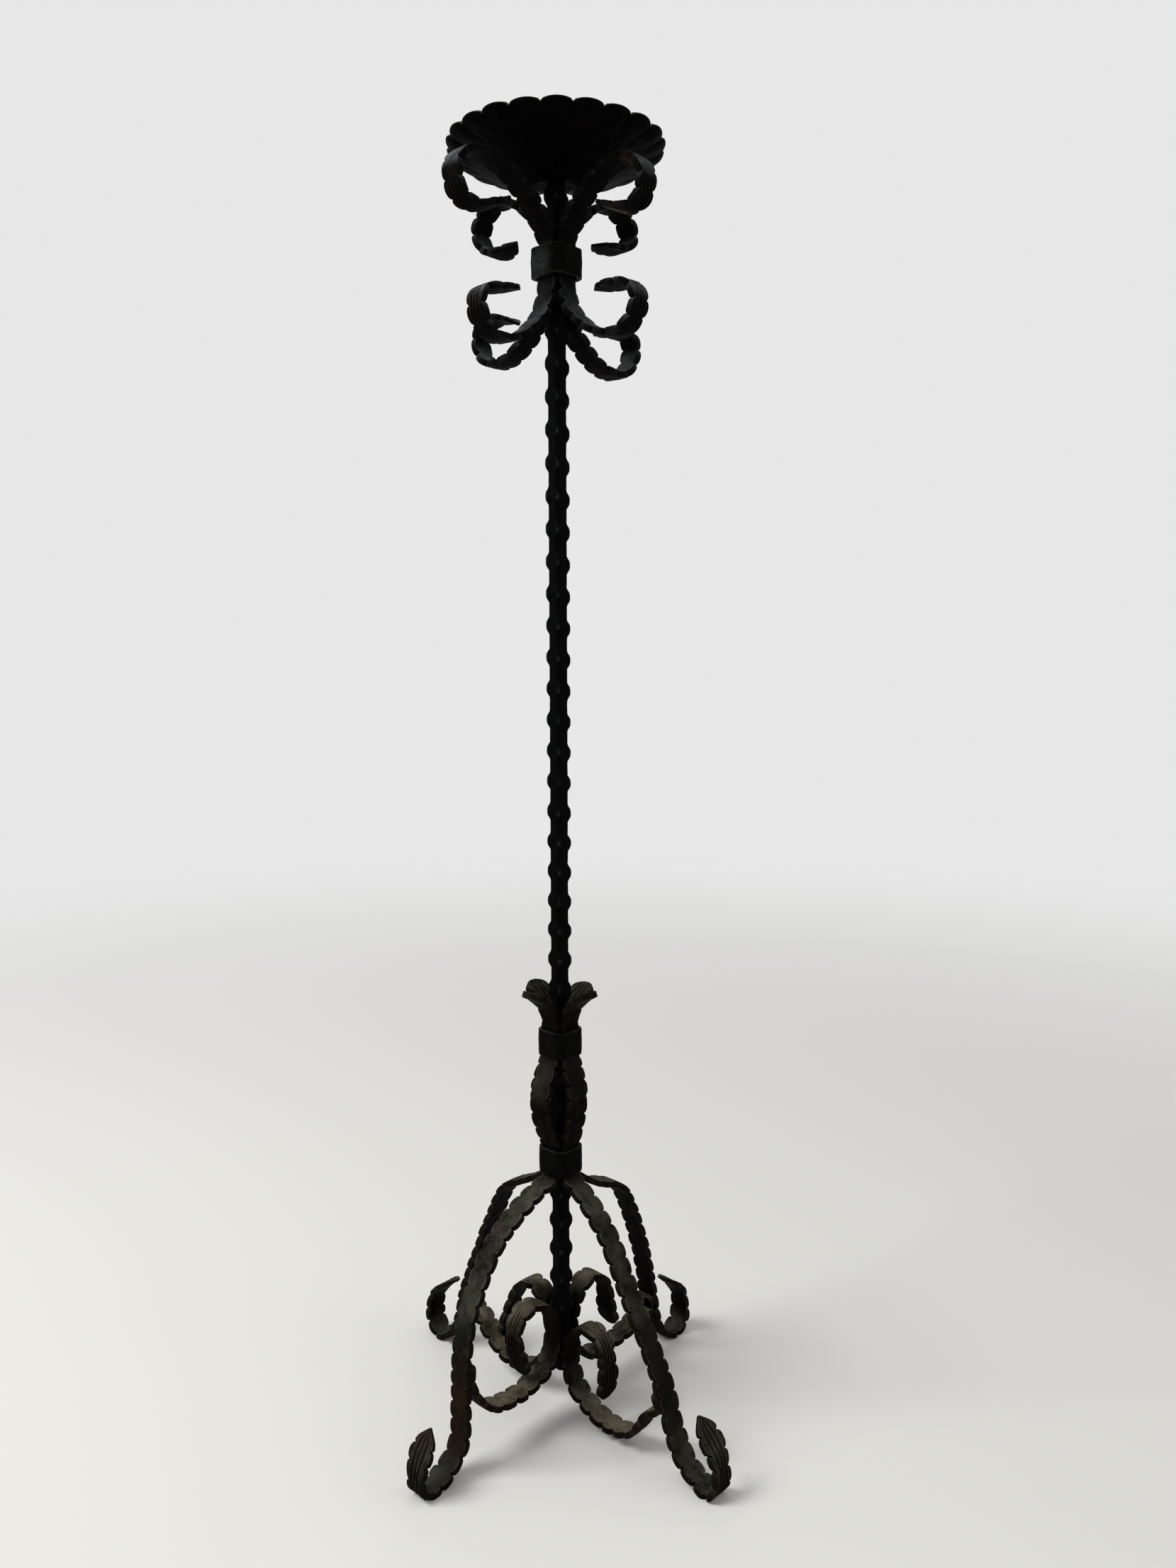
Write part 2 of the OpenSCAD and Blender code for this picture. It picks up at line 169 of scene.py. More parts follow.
def apply_modifier(piece: bpy.types.Object, kind: str, **settings: object) -> None:
    """Adds a modifier to a piece and applies it.

    Args:
        piece: The object.
        kind: The modifier's type.
        **settings: The modifier's settings.
    """
    take(piece)
    modifier = piece.modifiers.new(kind.lower(), kind)
    for name, value in settings.items():
        setattr(modifier, name, value)
    bpy.ops.object.modifier_apply(modifier=modifier.name)


def round_edges(piece: bpy.types.Object, width: float, segments: int, crease_degrees: float) -> None:
    """Rounds the edges of a piece where faces meet at more than an angle.

    Args:
        piece: The object.
        width: Width of the rounding, in millimetres.
        segments: Number of steps in the rounding.
        crease_degrees: The angle.
    """
    limit = {"limit_method": "ANGLE", "angle_limit": math.radians(crease_degrees)}
    apply_modifier(piece, "BEVEL", width=width * MM, segments=segments, **limit)


def hand_in(piece: bpy.types.Object, name: str, node: str) -> None:
    """Names a finished piece, hides the CAD node whose place it takes, and lets it ride on the body.

    Args:
        piece: The finished object.
        name: Its name.
        node: The CAD node that it stands for.
    """
    piece.name = name
    piece.data.name = name
    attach(piece, ROOT_BODY)
    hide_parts(node)
    LOG.info("%s: %d faces", name, len(piece.data.polygons))


@dataclass(frozen=True)
class Ripple:
    """Smooth unevenness of handwork, the same on every run.

    The depth is in millimetres, the pitch in the unit of what it is spread over.
    """

    seed: int
    pitch: float
    depth: float
    waves: int = 7
    shortest: float = 0.6
    longest: float = 1.7

    def over(self, x: np.ndarray, y: np.ndarray, piece_seed: int = 0) -> np.ndarray:
        """Spreads the unevenness over the points of a piece.

        Args:
            x: First coordinate of each point.
            y: Second coordinate of each point.
            piece_seed: Gives each of several like pieces a pattern of its own.

        Returns:
            One number per point, seldom more than the depth either way.
        """
        draw = np.random.default_rng(piece_seed + self.seed)
        total = np.zeros_like(x)
        for _ in range(self.waves):
            heading, phase = draw.uniform(0, 2 * math.pi, 2)
            turns = 2 * math.pi / (self.pitch * draw.uniform(self.shortest, self.longest))
            total += np.sin(turns * (x * math.cos(heading) + y * math.sin(heading)) + phase)
        return total / math.sqrt(2 * self.waves) * self.depth


def smooth_step(low: float, high: float, value: np.ndarray) -> np.ndarray:
    """Rises smoothly from 0 at low to 1 at high."""
    share = np.clip((value - low) / (high - low), 0, 1)
    return share * share * (3 - 2 * share)


def arch(share: np.ndarray) -> np.ndarray:
    """Returns the height of a half circle of height 1 over 0 to 1."""
    return np.sqrt(np.clip(1 - (2 * share - 1) ** 2, 0, 1))


# ---- Shader maths --------------------------------------------------------------


class Signal:
    """A shader socket on which the arithmetic operators add Math nodes."""

    def __init__(self, shader: Shader, socket: bpy.types.NodeSocket) -> None:
        """Wraps a socket of that shader."""
        self.shader = shader
        self.socket = socket

    def _math(self, operation: str, first: object, second: object) -> Signal:
        """Adds one Math node for an operation on two values or links."""
        return self.shader.signal(0, "ShaderNodeMath", {"operation": operation}, {0: first, 1: second})

    def __add__(self, other: object) -> Signal:
        """Returns self + other."""
        return self._math("ADD", self, other)

    __radd__ = __add__

    def __sub__(self, other: object) -> Signal:
        """Returns self - other."""
        return self._math("SUBTRACT", self, other)

    def __rsub__(self, other: object) -> Signal:
        """Returns other - self."""
        return self._math("SUBTRACT", other, self)

    def __mul__(self, other: object) -> Signal:
        """Returns self * other."""
        return self._math("MULTIPLY", self, other)

    __rmul__ = __mul__

    def between(self, low: float, high: float, rise: str = "SMOOTHSTEP") -> Signal:
        """Returns 0 below low, 1 above high, and a rise of that kind from one to the other."""
        inputs = {"Value": self, "From Min": low, "From Max": high}
        return self.shader.signal(0, "ShaderNodeMapRange", {"interpolation_type": rise}, inputs)

    def clamped(self) -> Signal:
        """Returns the value kept between 0 and 1."""
        return self.between(0.0, 1.0, "LINEAR")


class Shader:
    """A material or world tree that is built by calls and expressions."""

    def __init__(self, tree: bpy.types.NodeTree) -> None:
        """Starts from an empty tree."""
        self.tree = tree
        tree.nodes.clear()

    def plug(self, inlet: bpy.types.NodeSocket, value: object) -> None:
        """Links a signal or socket to an inlet, or sets a constant on it.

        Args:
            inlet: The input socket.
            value: A Signal, an output socket, a number, a vector or a colour.
        """
        if isinstance(value, Signal):
            value = value.socket
        if isinstance(value, bpy.types.NodeSocket):
            self.tree.links.new(value, inlet)
        else:
            inlet.default_value = (*value, 1.0) if inlet.type == "RGBA" else value

    def node(self, kind: str, settings: dict | None = None, inputs: dict | None = None) -> bpy.types.Node:
        """Adds a node.

        Args:
            kind: The node's type.
            settings: Its properties, which are set before its sockets.
            inputs: A value, a Signal or a socket for each input, by name or number.

        Returns:
            The new node.
        """
        node = self.tree.nodes.new(kind)
        for name, value in (settings or {}).items():
            setattr(node, name, value)
        for name, value in (inputs or {}).items():
            self.plug(node.inputs[name], value)
        return node

    def signal(self, outlet: str | int, *node: object) -> Signal:
        """Adds a node and returns the signal of one of its outlets."""
        return Signal(self, self.node(*node).outputs[outlet])

    def place(self) -> bpy.types.NodeSocket:
        """Returns the object coordinates."""
        return self.node("ShaderNodeTexCoord").outputs["Object"]

    def facing_up(self) -> Signal:
        """Returns how far the surface looks up: 1 for a level top, -1 for an underside."""
        normal = self.node("ShaderNodeNewGeometry").outputs["Normal"]
        return self.signal(2, "ShaderNodeSeparateXYZ", None, {0: normal})

    def attribute(self, name: str) -> Signal:
        """Returns a number that the piece stores at each vertex."""
        return self.signal("Fac", "ShaderNodeAttribute", {"attribute_name": name})

    def noise(self, size: float, detail: float, roughness: float) -> Signal:
        """Returns clouds from 0 to 1 of about that size."""
        inputs = {"Vector": self.place(), "Scale": 1 / (size * MM), "Detail": detail, "Roughness": roughness}
        return self.signal(0, "ShaderNodeTexNoise", {"noise_dimensions": "3D"}, inputs)

    def dents(self, size: float) -> Signal:
        """Returns shallow round cells of about that size, 0 in their middle."""
        inputs = {"Vector": self.place(), "Scale": 1 / (size * MM), "Smoothness": 0.6}
        return self.signal("Distance", "ShaderNodeTexVoronoi", {"feature": "SMOOTH_F1"}, inputs)

    def measure(self, operation: str, inputs: dict) -> Signal:
        """Returns the number that a vector operation gives."""
        return self.signal("Value", "ShaderNodeVectorMath", {"operation": operation}, inputs)

    def from_axis(self) -> Signal:
        """Returns the distance from the bar's axis."""
        level = self.node("ShaderNodeVectorMath", {"operation": "MULTIPLY"}, {0: self.place(), 1: (1, 1, 0)})
        return self.measure("LENGTH", {0: level.outputs[0]})

    def near(self, centre: Point, reach: float) -> Signal:
        """Returns 1 at a point, falling to 0 at that distance from it."""
        return 1 - self.measure("DISTANCE", {0: self.place(), 1: centre}).between(0.35 * reach, reach)

    def blend(self, share: Signal, below: object, above: object) -> bpy.types.NodeSocket:
        """Returns the colour below where share is 0 and the one above where it is 1."""
        inputs = {0: share, 6: below, 7: above}
        return self.node("ShaderNodeMix", {"data_type": "RGBA", "clamp_factor": True}, inputs).outputs[2]


# ---- Finishes ------------------------------------------------------------------


@dataclass(frozen=True)
class Patch:
    """A place where the finish has another colour: rust, painted shade or a painted highlight. In metres."""

    centre: Point
    reach: float
    colour: Colour
    strength: float = 0.9


# Each layer of grain has a size in millimetres, a detail and a roughness. The other sizes are in
# millimetres too.
GRAIN = {"clouds": (34, 5, 0.6), "blotches": (9, 5, 0.62), "grit": (1.7, 4, 0.6), "pits": (0.6, 2, 0.5)}
HAMMER_MARK = 7
BUMP_DEPTH = 0.9
# Painted shade near the bar: strongest within the first distance from its axis, gone beyond the second.
BAR_SHADE_FROM, BAR_SHADE_TO = 9, 34


@dataclass(frozen=True)
class IronFinish:
    """Old forged iron: black scale, a grey bloom laid on as painted top light on what looks up, and brown
    edges.
    """

    name: str
    scale: Colour
    # The grey bloom, which is also the colour of the painted top light.
    bloom_and_painted_light: Colour
    edge: Colour
    rust: Colour = (0.02, 0.009, 0.005)
    crest: Colour = (0.07, 0.052, 0.036)
    rim: Colour = (0.11, 0.105, 0.085)
    groove: Colour = (0.0015, 0.0013, 0.0012)
    speck: Colour = (0.15, 0.145, 0.13)
    bloom_and_painted_light_amount: float = 0.8
    edge_amount: float = 0.8
    rust_amount: float = 0.35
    crest_amount: float = 0.6
    rim_amount: float = 0.7
    groove_amount: float = 0.85
    speck_amount: float = 0.4
    painted_light_from: float = -0.3
    roughness: float = 0.55
    sheen: float = 0.012
    edge_metal: float = 0.08
    # Strength of the painted shade near the bar.
    bar_shade: float = 0.7
    bump: float = 0.75
    patches: tuple[Patch, ...] = ()

    def colour(self, shader: Shader, grain: dict[str, Signal]) -> bpy.types.NodeSocket:
        """Lays the colours over one another, from the black scale up.

        Args:
            shader: The tree that the nodes go into.
            grain: The clouds, blotches, grit and pits, by name.

        Returns:
            The iron's colour at each place.
        """
        clouds, blotches, grit, pits = grain.values()
        # up is painted top light: the bloom, the rim highlights and the specks are laid mostly on what faces
        # up.
        up = shader.facing_up().between(self.painted_light_from, 0.85)
        mottle = (clouds * 0.6 + blotches * 0.4 + (grit - 0.5) * 0.3).between(0.36, 0.64)
        # clear falls towards the bar's axis and takes the bloom and the brown edges down there: painted
        # shade.
        clear = shader.from_axis().between(BAR_SHADE_FROM * MM, BAR_SHADE_TO * MM) * self.bar_shade + (1 - self.bar_shade)
        bloom_and_painted_light = (mottle * 0.9 + 0.1) * up * clear * self.bloom_and_painted_light_amount
        colour = shader.blend(bloom_and_painted_light, self.scale, self.bloom_and_painted_light)
        rust = (blotches * 0.6 + grit * 0.4).between(0.48, 0.64) * (1 - clouds.between(0.42, 0.62))
        colour = shader.blend(rust * self.rust_amount, colour, self.rust)
        for patch in self.patches:
            broken = (grit * 0.7 + blotches * 0.6).between(0.42, 0.72)
            spread = shader.near(patch.centre, patch.reach) * broken
            colour = shader.blend(spread * patch.strength, colour, patch.colour)
        # Rib crests: lighter worn iron, brightened as painted light where they face up.
        lit = shader.facing_up().between(-0.8, 0.5) * 0.8 + 0.2
        crest = shader.attribute("crest") * grit.between(0.34, 0.62) * lit
        colour = shader.blend(crest * self.crest_amount, colour, self.crest)
        edge = (shader.attribute("edge") + (blotches - 0.5) * 0.6).between(0.35, 0.8)
        colour = shader.blend(edge * (clear * 0.6 + 0.4) * self.edge_amount, colour, self.edge)
        # A thin painted highlight along the lobe rims, where they face up.
        rim = shader.attribute("rim").between(0.3, 1.0) * blotches.between(0.36, 0.56) * up
        colour = shader.blend(rim * self.rim_amount, colour, self.rim)
        groove = shader.attribute("groove").clamped()
        colour = shader.blend(groove * self.groove_amount, colour, self.groove)
        specks = pits.between(0.66, 0.76) * grit.between(0.45, 0.6) * (up * 0.8 + 0.2)
        return shader.blend(specks * self.speck_amount, colour, self.speck)

    def material(self) -> bpy.types.Material:
        """Makes the finish as a material.

        Returns:
            The new material.
        """
        material = bpy.data.materials.new(self.name)
        material.use_nodes = True
        shader = Shader(material.node_tree)
        grain = {name: shader.noise(*sizes) for name, sizes in GRAIN.items()}
        blotches, grit = grain["blotches"], grain["grit"]
        dents = shader.dents(HAMMER_MARK).between(0.1, 0.75)
        height = blotches * 0.9 + dents * 0.8 + grit * 0.5 + grain["pits"] * 0.18
        relief = {"Strength": self.bump, "Distance": BUMP_DEPTH * MM, "Height": height}
        worn = shader.attribute("edge") * 0.1 + shader.attribute("crest") * 0.06
        surface = shader.node("ShaderNodeBsdfPrincipled", None, {
            "Base Color": self.colour(shader, grain),
            "Metallic": shader.attribute("edge") * self.edge_metal,
            "Roughness": (grit * 0.3 + blotches * 0.16 + (self.roughness - 0.2)) - worn,
            "Specular IOR Level": self.sheen,
            "Normal": shader.node("ShaderNodeBump", None, relief).outputs[0],
        })
        shader.node("ShaderNodeOutputMaterial", None, {"Surface": surface.outputs[0]})
        return material


class Iron(Enum):
    """The finishes on this stand, by what they cover."""

    BAR = IronFinish(
        "forge_black_bar", (0.0011, 0.0012, 0.0014), (0.008, 0.0095, 0.0105), (0.04, 0.044, 0.046),
        bloom_and_painted_light_amount=0.65, rust_amount=0.12, painted_light_from=-0.6,
    )
    BAND = IronFinish(
        "grey_bloom_band", (0.0011, 0.0012, 0.0011), (0.011, 0.0125, 0.0105), (0.05, 0.053, 0.047),
        bloom_and_painted_light_amount=0.7, edge_amount=0.55, rust_amount=0.25, painted_light_from=-0.7,
        patches=(
            Patch((-0.0135, -0.0105, 0.298), 0.008, (0.008, 0.003, 0.0025), 0.6),
            # A painted highlight on the left face of the top collar.
            Patch((-0.0165, -0.0125, 0.857), 0.015, (0.03, 0.034, 0.034), 0.6),
        ),
    )
    PAN = IronFinish(
        "forge_black_pan", (0.0009, 0.0008, 0.0014), (0.014, 0.0145, 0.016), (0.075, 0.072, 0.048),
        bloom_and_painted_light_amount=0.55, rust_amount=0.2, painted_light_from=0.0,
    )
    HIGH_SCROLL = IronFinish(
        "cool_grey_strap", (0.0012, 0.0013, 0.0017), (0.11, 0.119, 0.122), (0.005, 0.0045, 0.0042),
        bloom_and_painted_light_amount=1.0, edge_amount=0.5, rust_amount=0.3, painted_light_from=-0.12,
        patches=(
            Patch((0.051, -0.051, 0.913), 0.013, (0.032, 0.012, 0.007)),
            Patch((0.041, -0.041, 0.883), 0.011, (0.1, 0.076, 0.045)),
        ),
    )
    LEG = IronFinish(
        "olive_strap", (0.0014, 0.0013, 0.001), (0.066, 0.065, 0.048), (0.0065, 0.004, 0.0027),
        bloom_and_painted_light_amount=0.9, edge_amount=0.75, rust_amount=0.45, painted_light_from=-0.15,
        patches=(
            Patch((-0.076, -0.076, 0.045), 0.05, (0.014, 0.0075, 0.0045)),
            # Painted shade over the front right leg.
            Patch((0.076, -0.076, 0.075), 0.055, (0.004, 0.0038, 0.003), 0.8),
        ),
    )
    BASE_SCROLL = IronFinish(
        "pale_olive_strap", (0.0014, 0.0012, 0.0009), (0.135, 0.12, 0.083), (0.0075, 0.0045, 0.003),
        bloom_and_painted_light_amount=0.95, edge_amount=0.75, rust_amount=0.4, painted_light_from=-0.05,
        # Painted shade on the base scrolls where they meet the bar.
        patches=(Patch((0.0, 0.0, 0.07), 0.036, (0.0016, 0.0014, 0.0012), 1.0),),
    )

    def slot(self) -> str:
        """Finds the record's material slot that this finish belongs to.

        Returns:
            The slot's name.
        """
        slots = {
            Iron.BAR: "forged_bar", Iron.BAND: "collar_iron", Iron.PAN: "pan_iron",
            Iron.HIGH_SCROLL: "strap_iron", Iron.LEG: "strap_iron", Iron.BASE_SCROLL: "scroll_iron",
        }
        return slots[self]


class Wardrobe:
    """Makes each finish once and puts it on the pieces."""

    def __init__(self) -> None:
        """Starts with no material made."""
        self.made: dict[Iron, bpy.types.Material] = {}

    def dress(self, piece: bpy.types.Object, iron: Iron, name: str, node: str, crease_degrees: float) -> None:
        """Shades a piece smooth, puts its finish on it and hands it in.

        Args:
            piece: The shaped object.
            iron: Its finish.
            name: Its name.
            node: The CAD node that it stands for.
            crease_degrees: Faces that meet at more than this angle keep a crease.
        """
        take(piece)
        bpy.ops.object.shade_smooth_by_angle(angle=math.radians(crease_degrees))
        if iron not in self.made:
            self.made[iron] = iron.value.material()
        piece.data.materials.clear()
        piece.data.materials.append(self.made[iron])
        hand_in(piece, name, node)


# ---- Layout of the stand ---------------------------------------------------------


@dataclass(frozen=True)
class Layout:
    """The sizes that several pieces share, in millimetres."""

    stem_side: float = 12.0
    strap_t: float = 5.0
    fit: float = 0.25
    foot_flat: float = 0.4
    bundle_round: float = 3.0
    leg_reach: float = 140.0
    belly_out: float = 12.5
    leaf_lean: float = 25.0
    leaf_rise: float = 29.0
    low_scroll_reach: float = 69.0
    low_scroll_drop: float = 50.0
    high_scroll_reach: float = 74.0
    high_scroll_rise: float = 45.0

    @property
    def seat_r(self) -> float:
        """Centre line of a strap that lies on a flat of the bar."""
        return self.stem_side / 2 + self.fit + self.strap_t / 2

    @property
    def foot_z(self) -> float:
        """Height of the centre line of a strap that stands on the floor."""
        return self.strap_t / 2 - self.foot_flat

    @property
    def bundle_half(self) -> float:
        """Half the width of what the collars hold."""
        return self.seat_r + self.strap_t / 2 + self.fit

    @property
    def grip_half(self) -> float:
        """Half the width that a strap's outer face has inside a collar."""
        ease = math.sqrt(2 * self.bundle_round * self.fit - self.fit**2)
        return self.bundle_half - self.bundle_round + ease - self.fit

    @staticmethod
    def span(node: str) -> tuple[float, float]:
        """Returns the lowest and highest point of a CAD node, in millimetres."""
        low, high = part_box(node)
        return low.z / MM, high.z / MM


LAYOUT = Layout()


@dataclass(frozen=True)
class Bend:
    """How one curl was bent: its reach and rise in per cent, its way back, its opening."""

    reach: float
    rise: float
    way_back: Shares
    opened: float = 0.0


@dataclass(frozen=True)
class Head:
    """Lean and rise of a leaf above the collars, and the belly, in per cent."""

    lean: float
    rise: float
    belly: float


@dataclass(frozen=True)
class Corner:
    """One corner of the stand, with the shapes that were bent there."""

    name: str
    angle: float
    high: Bend
    low: Bend
    head: Head
    leg: Shares
    base: Shares


# Runs that all four corners share, in per cent of their reach and rise.
CURL = (
    (0, 8), (3, 22), (10, 40), (20, 58), (32, 74), (46, 89), (62, 98), (78, 99),
    (91, 89), (99, 71), (99, 52),
)
OPENING = (0, 1.5, 5, 6.5, 6, 4.5, 2.5, 0, 0, 0, 0)
LEAF_ABOVE_COLLAR = ((100, 100), (78, 92), (50, 79), (27, 63), (11, 42), (2, 16))
BELLY = ((8, 98), (42, 85), (82, 68), (100, 52), (84, 34), (42, 15), (8, 2))
WELD_POINT = 7

CORNERS = (
    Corner(
        "front_left", -135,
        Bend(117.5, 100, ((94, 30), (80, 22), (60, 33), (41, 52))),
        Bend(97, 102, ((90, 41), (75, 37), (58, 33), (41, 28)), -0.9),
        Head(100, 112, 100),
        ((0, 100), (1.5, 98), (14, 95.5), (33, 89), (50, 79), (65.3, 61.1), (70, 48), (71.3, 37.5),
         (71.9, 25), (73.3, 12), (81.2, 4.5), (94, 0), (102.6, 3), (101.8, 12.5), (93, 23.5)),
        ((25, 23.5), (30, 32.5), (32, 41), (29, 46.3), (22, 49.3), (13, 48.4), (5, 44), (0, 36.5),
         (0, 28.5), (5, 21.5), (14, 18), (26, 16), (39, 16), (52, 18.5), (62, 25.5)),
    ),
    Corner(
        "front_right", -45,
        Bend(100.5, 99, ((93, 32.5), (77, 27), (57, 38), (40, 51))),
        Bend(98, 94, ((90, 37), (75, 33), (58, 32), (41, 31)), -0.9),
        Head(98, 110, 68),
        ((0, 100), (1.5, 98), (11.5, 93.5), (30, 81), (46, 62), (60.7, 45.4), (69.2, 34.6),
         (73.8, 26.5), (81, 13.1), (88.3, 5.4), (97.5, 1.5), (106, 0), (111.2, 5.5), (107.8, 16.5),
         (95.2, 26.5)),
        ((28.2, 13.5), (30.2, 21.5), (29.3, 30.3), (26, 35.6), (19, 38.5), (11, 37.2), (4, 33),
         (0, 26.5), (1, 18.5), (6.8, 10.8), (17, 6), (29, 3.4), (41.2, 3.6), (53, 7.6), (62, 17.5)),
    ),
    Corner(
        "back_right", 45,
        Bend(92.5, 96, ((90, 39), (74, 33.5), (57, 30.5), (41, 27.5))),
        Bend(104, 113, ((91, 45), (77, 44), (59, 47), (42, 50)), -1.6),
        Head(90, 94, 80),
        ((0, 100), (2, 97.5), (19.5, 89.3), (41.2, 82.8), (52.8, 70.8), (64.8, 49), (70.8, 32.5),
         (73.8, 22.5), (76.8, 13), (83.8, 4), (96.5, 0), (105.5, 5), (104.7, 15.5), (97, 23),
         (85, 28.5)),
        ((37.2, 22.5), (33.2, 29.5), (31.4, 38.8), (27, 45), (19, 48.5), (11, 47.5), (4, 43),
         (0, 34.5), (1, 25.5), (8, 18), (18, 14), (30, 13.5), (44, 14), (56, 16), (66, 18.5)),
    ),
    Corner(
        "back_left", 135,
        Bend(94.5, 102, ((91, 34), (77, 23), (60, 23), (44, 31))),
        Bend(103.5, 98, ((91, 39), (76, 33), (58, 37), (42, 48)), -0.5),
        Head(88, 103, 100),
        ((0, 100), (2, 97.5), (20.5, 90.5), (38, 83.7), (52, 66.5), (63.7, 48.8), (74, 32.5),
         (77, 26.5), (81.5, 14.5), (89, 4.5), (102, 0), (110, 6), (108.5, 16), (99.5, 23.5),
         (87.5, 28.5)),
        ((41, 16.5), (38, 25.5), (33, 35.5), (26, 43), (18, 46.5), (10, 45), (3, 40), (0, 31.5),
         (2, 22.5), (8, 16), (16, 10.5), (27, 7.5), (40, 8), (53, 13), (64, 19.5)),
    ),
)


# ---- Straps ----------------------------------------------------------------------


def smooth_line(knots: list[np.ndarray], steps: int = 24) -> np.ndarray:
    """Runs a smooth curve through some points.

    Args:
        knots: The points.
        steps: Number of steps from one of them to the next.

    Returns:
        The points of the curve, one row each.
    """
    last = len(knots) - 1
    line = []
    for index in range(last):
        a, b = knots[max(index - 1, 0)], knots[index]
        c, d = knots[index + 1], knots[min(index + 2, last)]
        for step in range(steps):
            t = step / steps
            curve = (2 * a - 5 * b + 4 * c - d) + t * (3 * b - a - 3 * c + d)
            line.append(b + t * ((c - a) + t * curve) / 2)
    line.append(knots[last])
    return np.array(line)


def outward(heading: np.ndarray) -> np.ndarray:
    """Returns the side that faces away from the bar where a path runs down it."""
    return np.stack([-heading[..., 1], heading[..., 0]], axis=-1)


def knots_from(shares: Shares, start: float, reach: float, rise: float) -> list[np.ndarray]:
    """Returns points of a path that are given in per cent.

    Args:
        shares: Distance from the seat on the bar, and height, for each point.
        start: The height that 0 stands for.
        reach: The distance that 100 stands for.
        rise: The height above the start that 100 stands for.

    Returns:
        The points, in millimetres.
    """
    return [np.array([LAYOUT.seat_r + x / 100 * reach, start + z / 100 * rise]) for x, z in shares]


def knots_in(collar: str) -> list[np.ndarray]:
    """Places the two points of a strap that lie inside a collar.

    Args:
        collar: The collar's CAD node.

    Returns:
        The two points, from the top down.
    """
    low, high = LAYOUT.span(collar)
    third = (high - low) / 3
    return [np.array([LAYOUT.seat_r, height]) for height in (high - third, low + third)]


def knots_at_base(shares: Shares) -> list[np.ndarray]:
    """Returns the points of a leg or base scroll below the lower collar."""
    rise = LAYOUT.span("lower_leg_collar")[0] - LAYOUT.foot_z
    return knots_from(shares, LAYOUT.foot_z, LAYOUT.leg_reach - LAYOUT.seat_r, rise)


@dataclass(frozen=True)
class Stock:
    """Scalloped strap as it is drawn out, before it is bent. In millimetres."""

    width: float
    thickness: float = LAYOUT.strap_t
    lobe_pitch: float = 12.0
    lobe_slip: float = 0.09
    lobe_slant: float = 0.06
    notch: float = 2.8
    notch_spread: float = 0.22
    leaf_length: float = 34.0
    leaf_swell: float = 1.5
    edge_round: float = 0.55
    edge_mark: float = 1.5
    crown: float = 0.25
    dents: Ripple = Ripple(0, 13.0, 0.16)
    fine_dents: Ripple = Ripple(5, 5.0, 0.06)
    waver: Ripple = Ripple(9, 26.0, 0.35)
    ribs: int = 4
    rib_depth: float = 0.85
    rib_sharpness: float = 1.6
    rib_from: float = 0.5
    rib_risen: float = 5.0
    rib_full: float = 44.0
    rib_end: float = 66.0
    stations_per_lobe: int = 10
    columns: int = 24
    wall_cuts: int = 3
    spear: Shares = (
        (0, 0.1), (0.1, 0.45), (0.2, 0.75), (0.32, 0.96), (0.45, 1), (0.65, 1), (0.85, 0.95),
        (1, 0.92), (1.4, 1),
    )
    shell: Shares = (
        (0, 0.45), (0.05, 0.76), (0.12, 0.94), (0.22, 1), (0.5, 0.98), (0.75, 0.9), (1, 0.88), (1.4, 1),
    )
    thin: Shares = ((0, 0.4), (0.3, 0.7), (0.75, 1))

    def along_leaf(self, from_tip: np.ndarray, outline: Shares) -> np.ndarray:
        """Returns the share of the full width or thickness at a distance from a leaf's tip."""
        places, shares = zip(*outline)
        return np.interp(from_tip / self.leaf_length, places, shares)

    def leaf_extra(self, from_tip: np.ndarray) -> np.ndarray:
        """Returns how much wider the leaf is, each side, at a distance from its tip."""
        return self.leaf_swell * np.sin(math.pi * np.clip(from_tip / self.leaf_length, 0, 1))


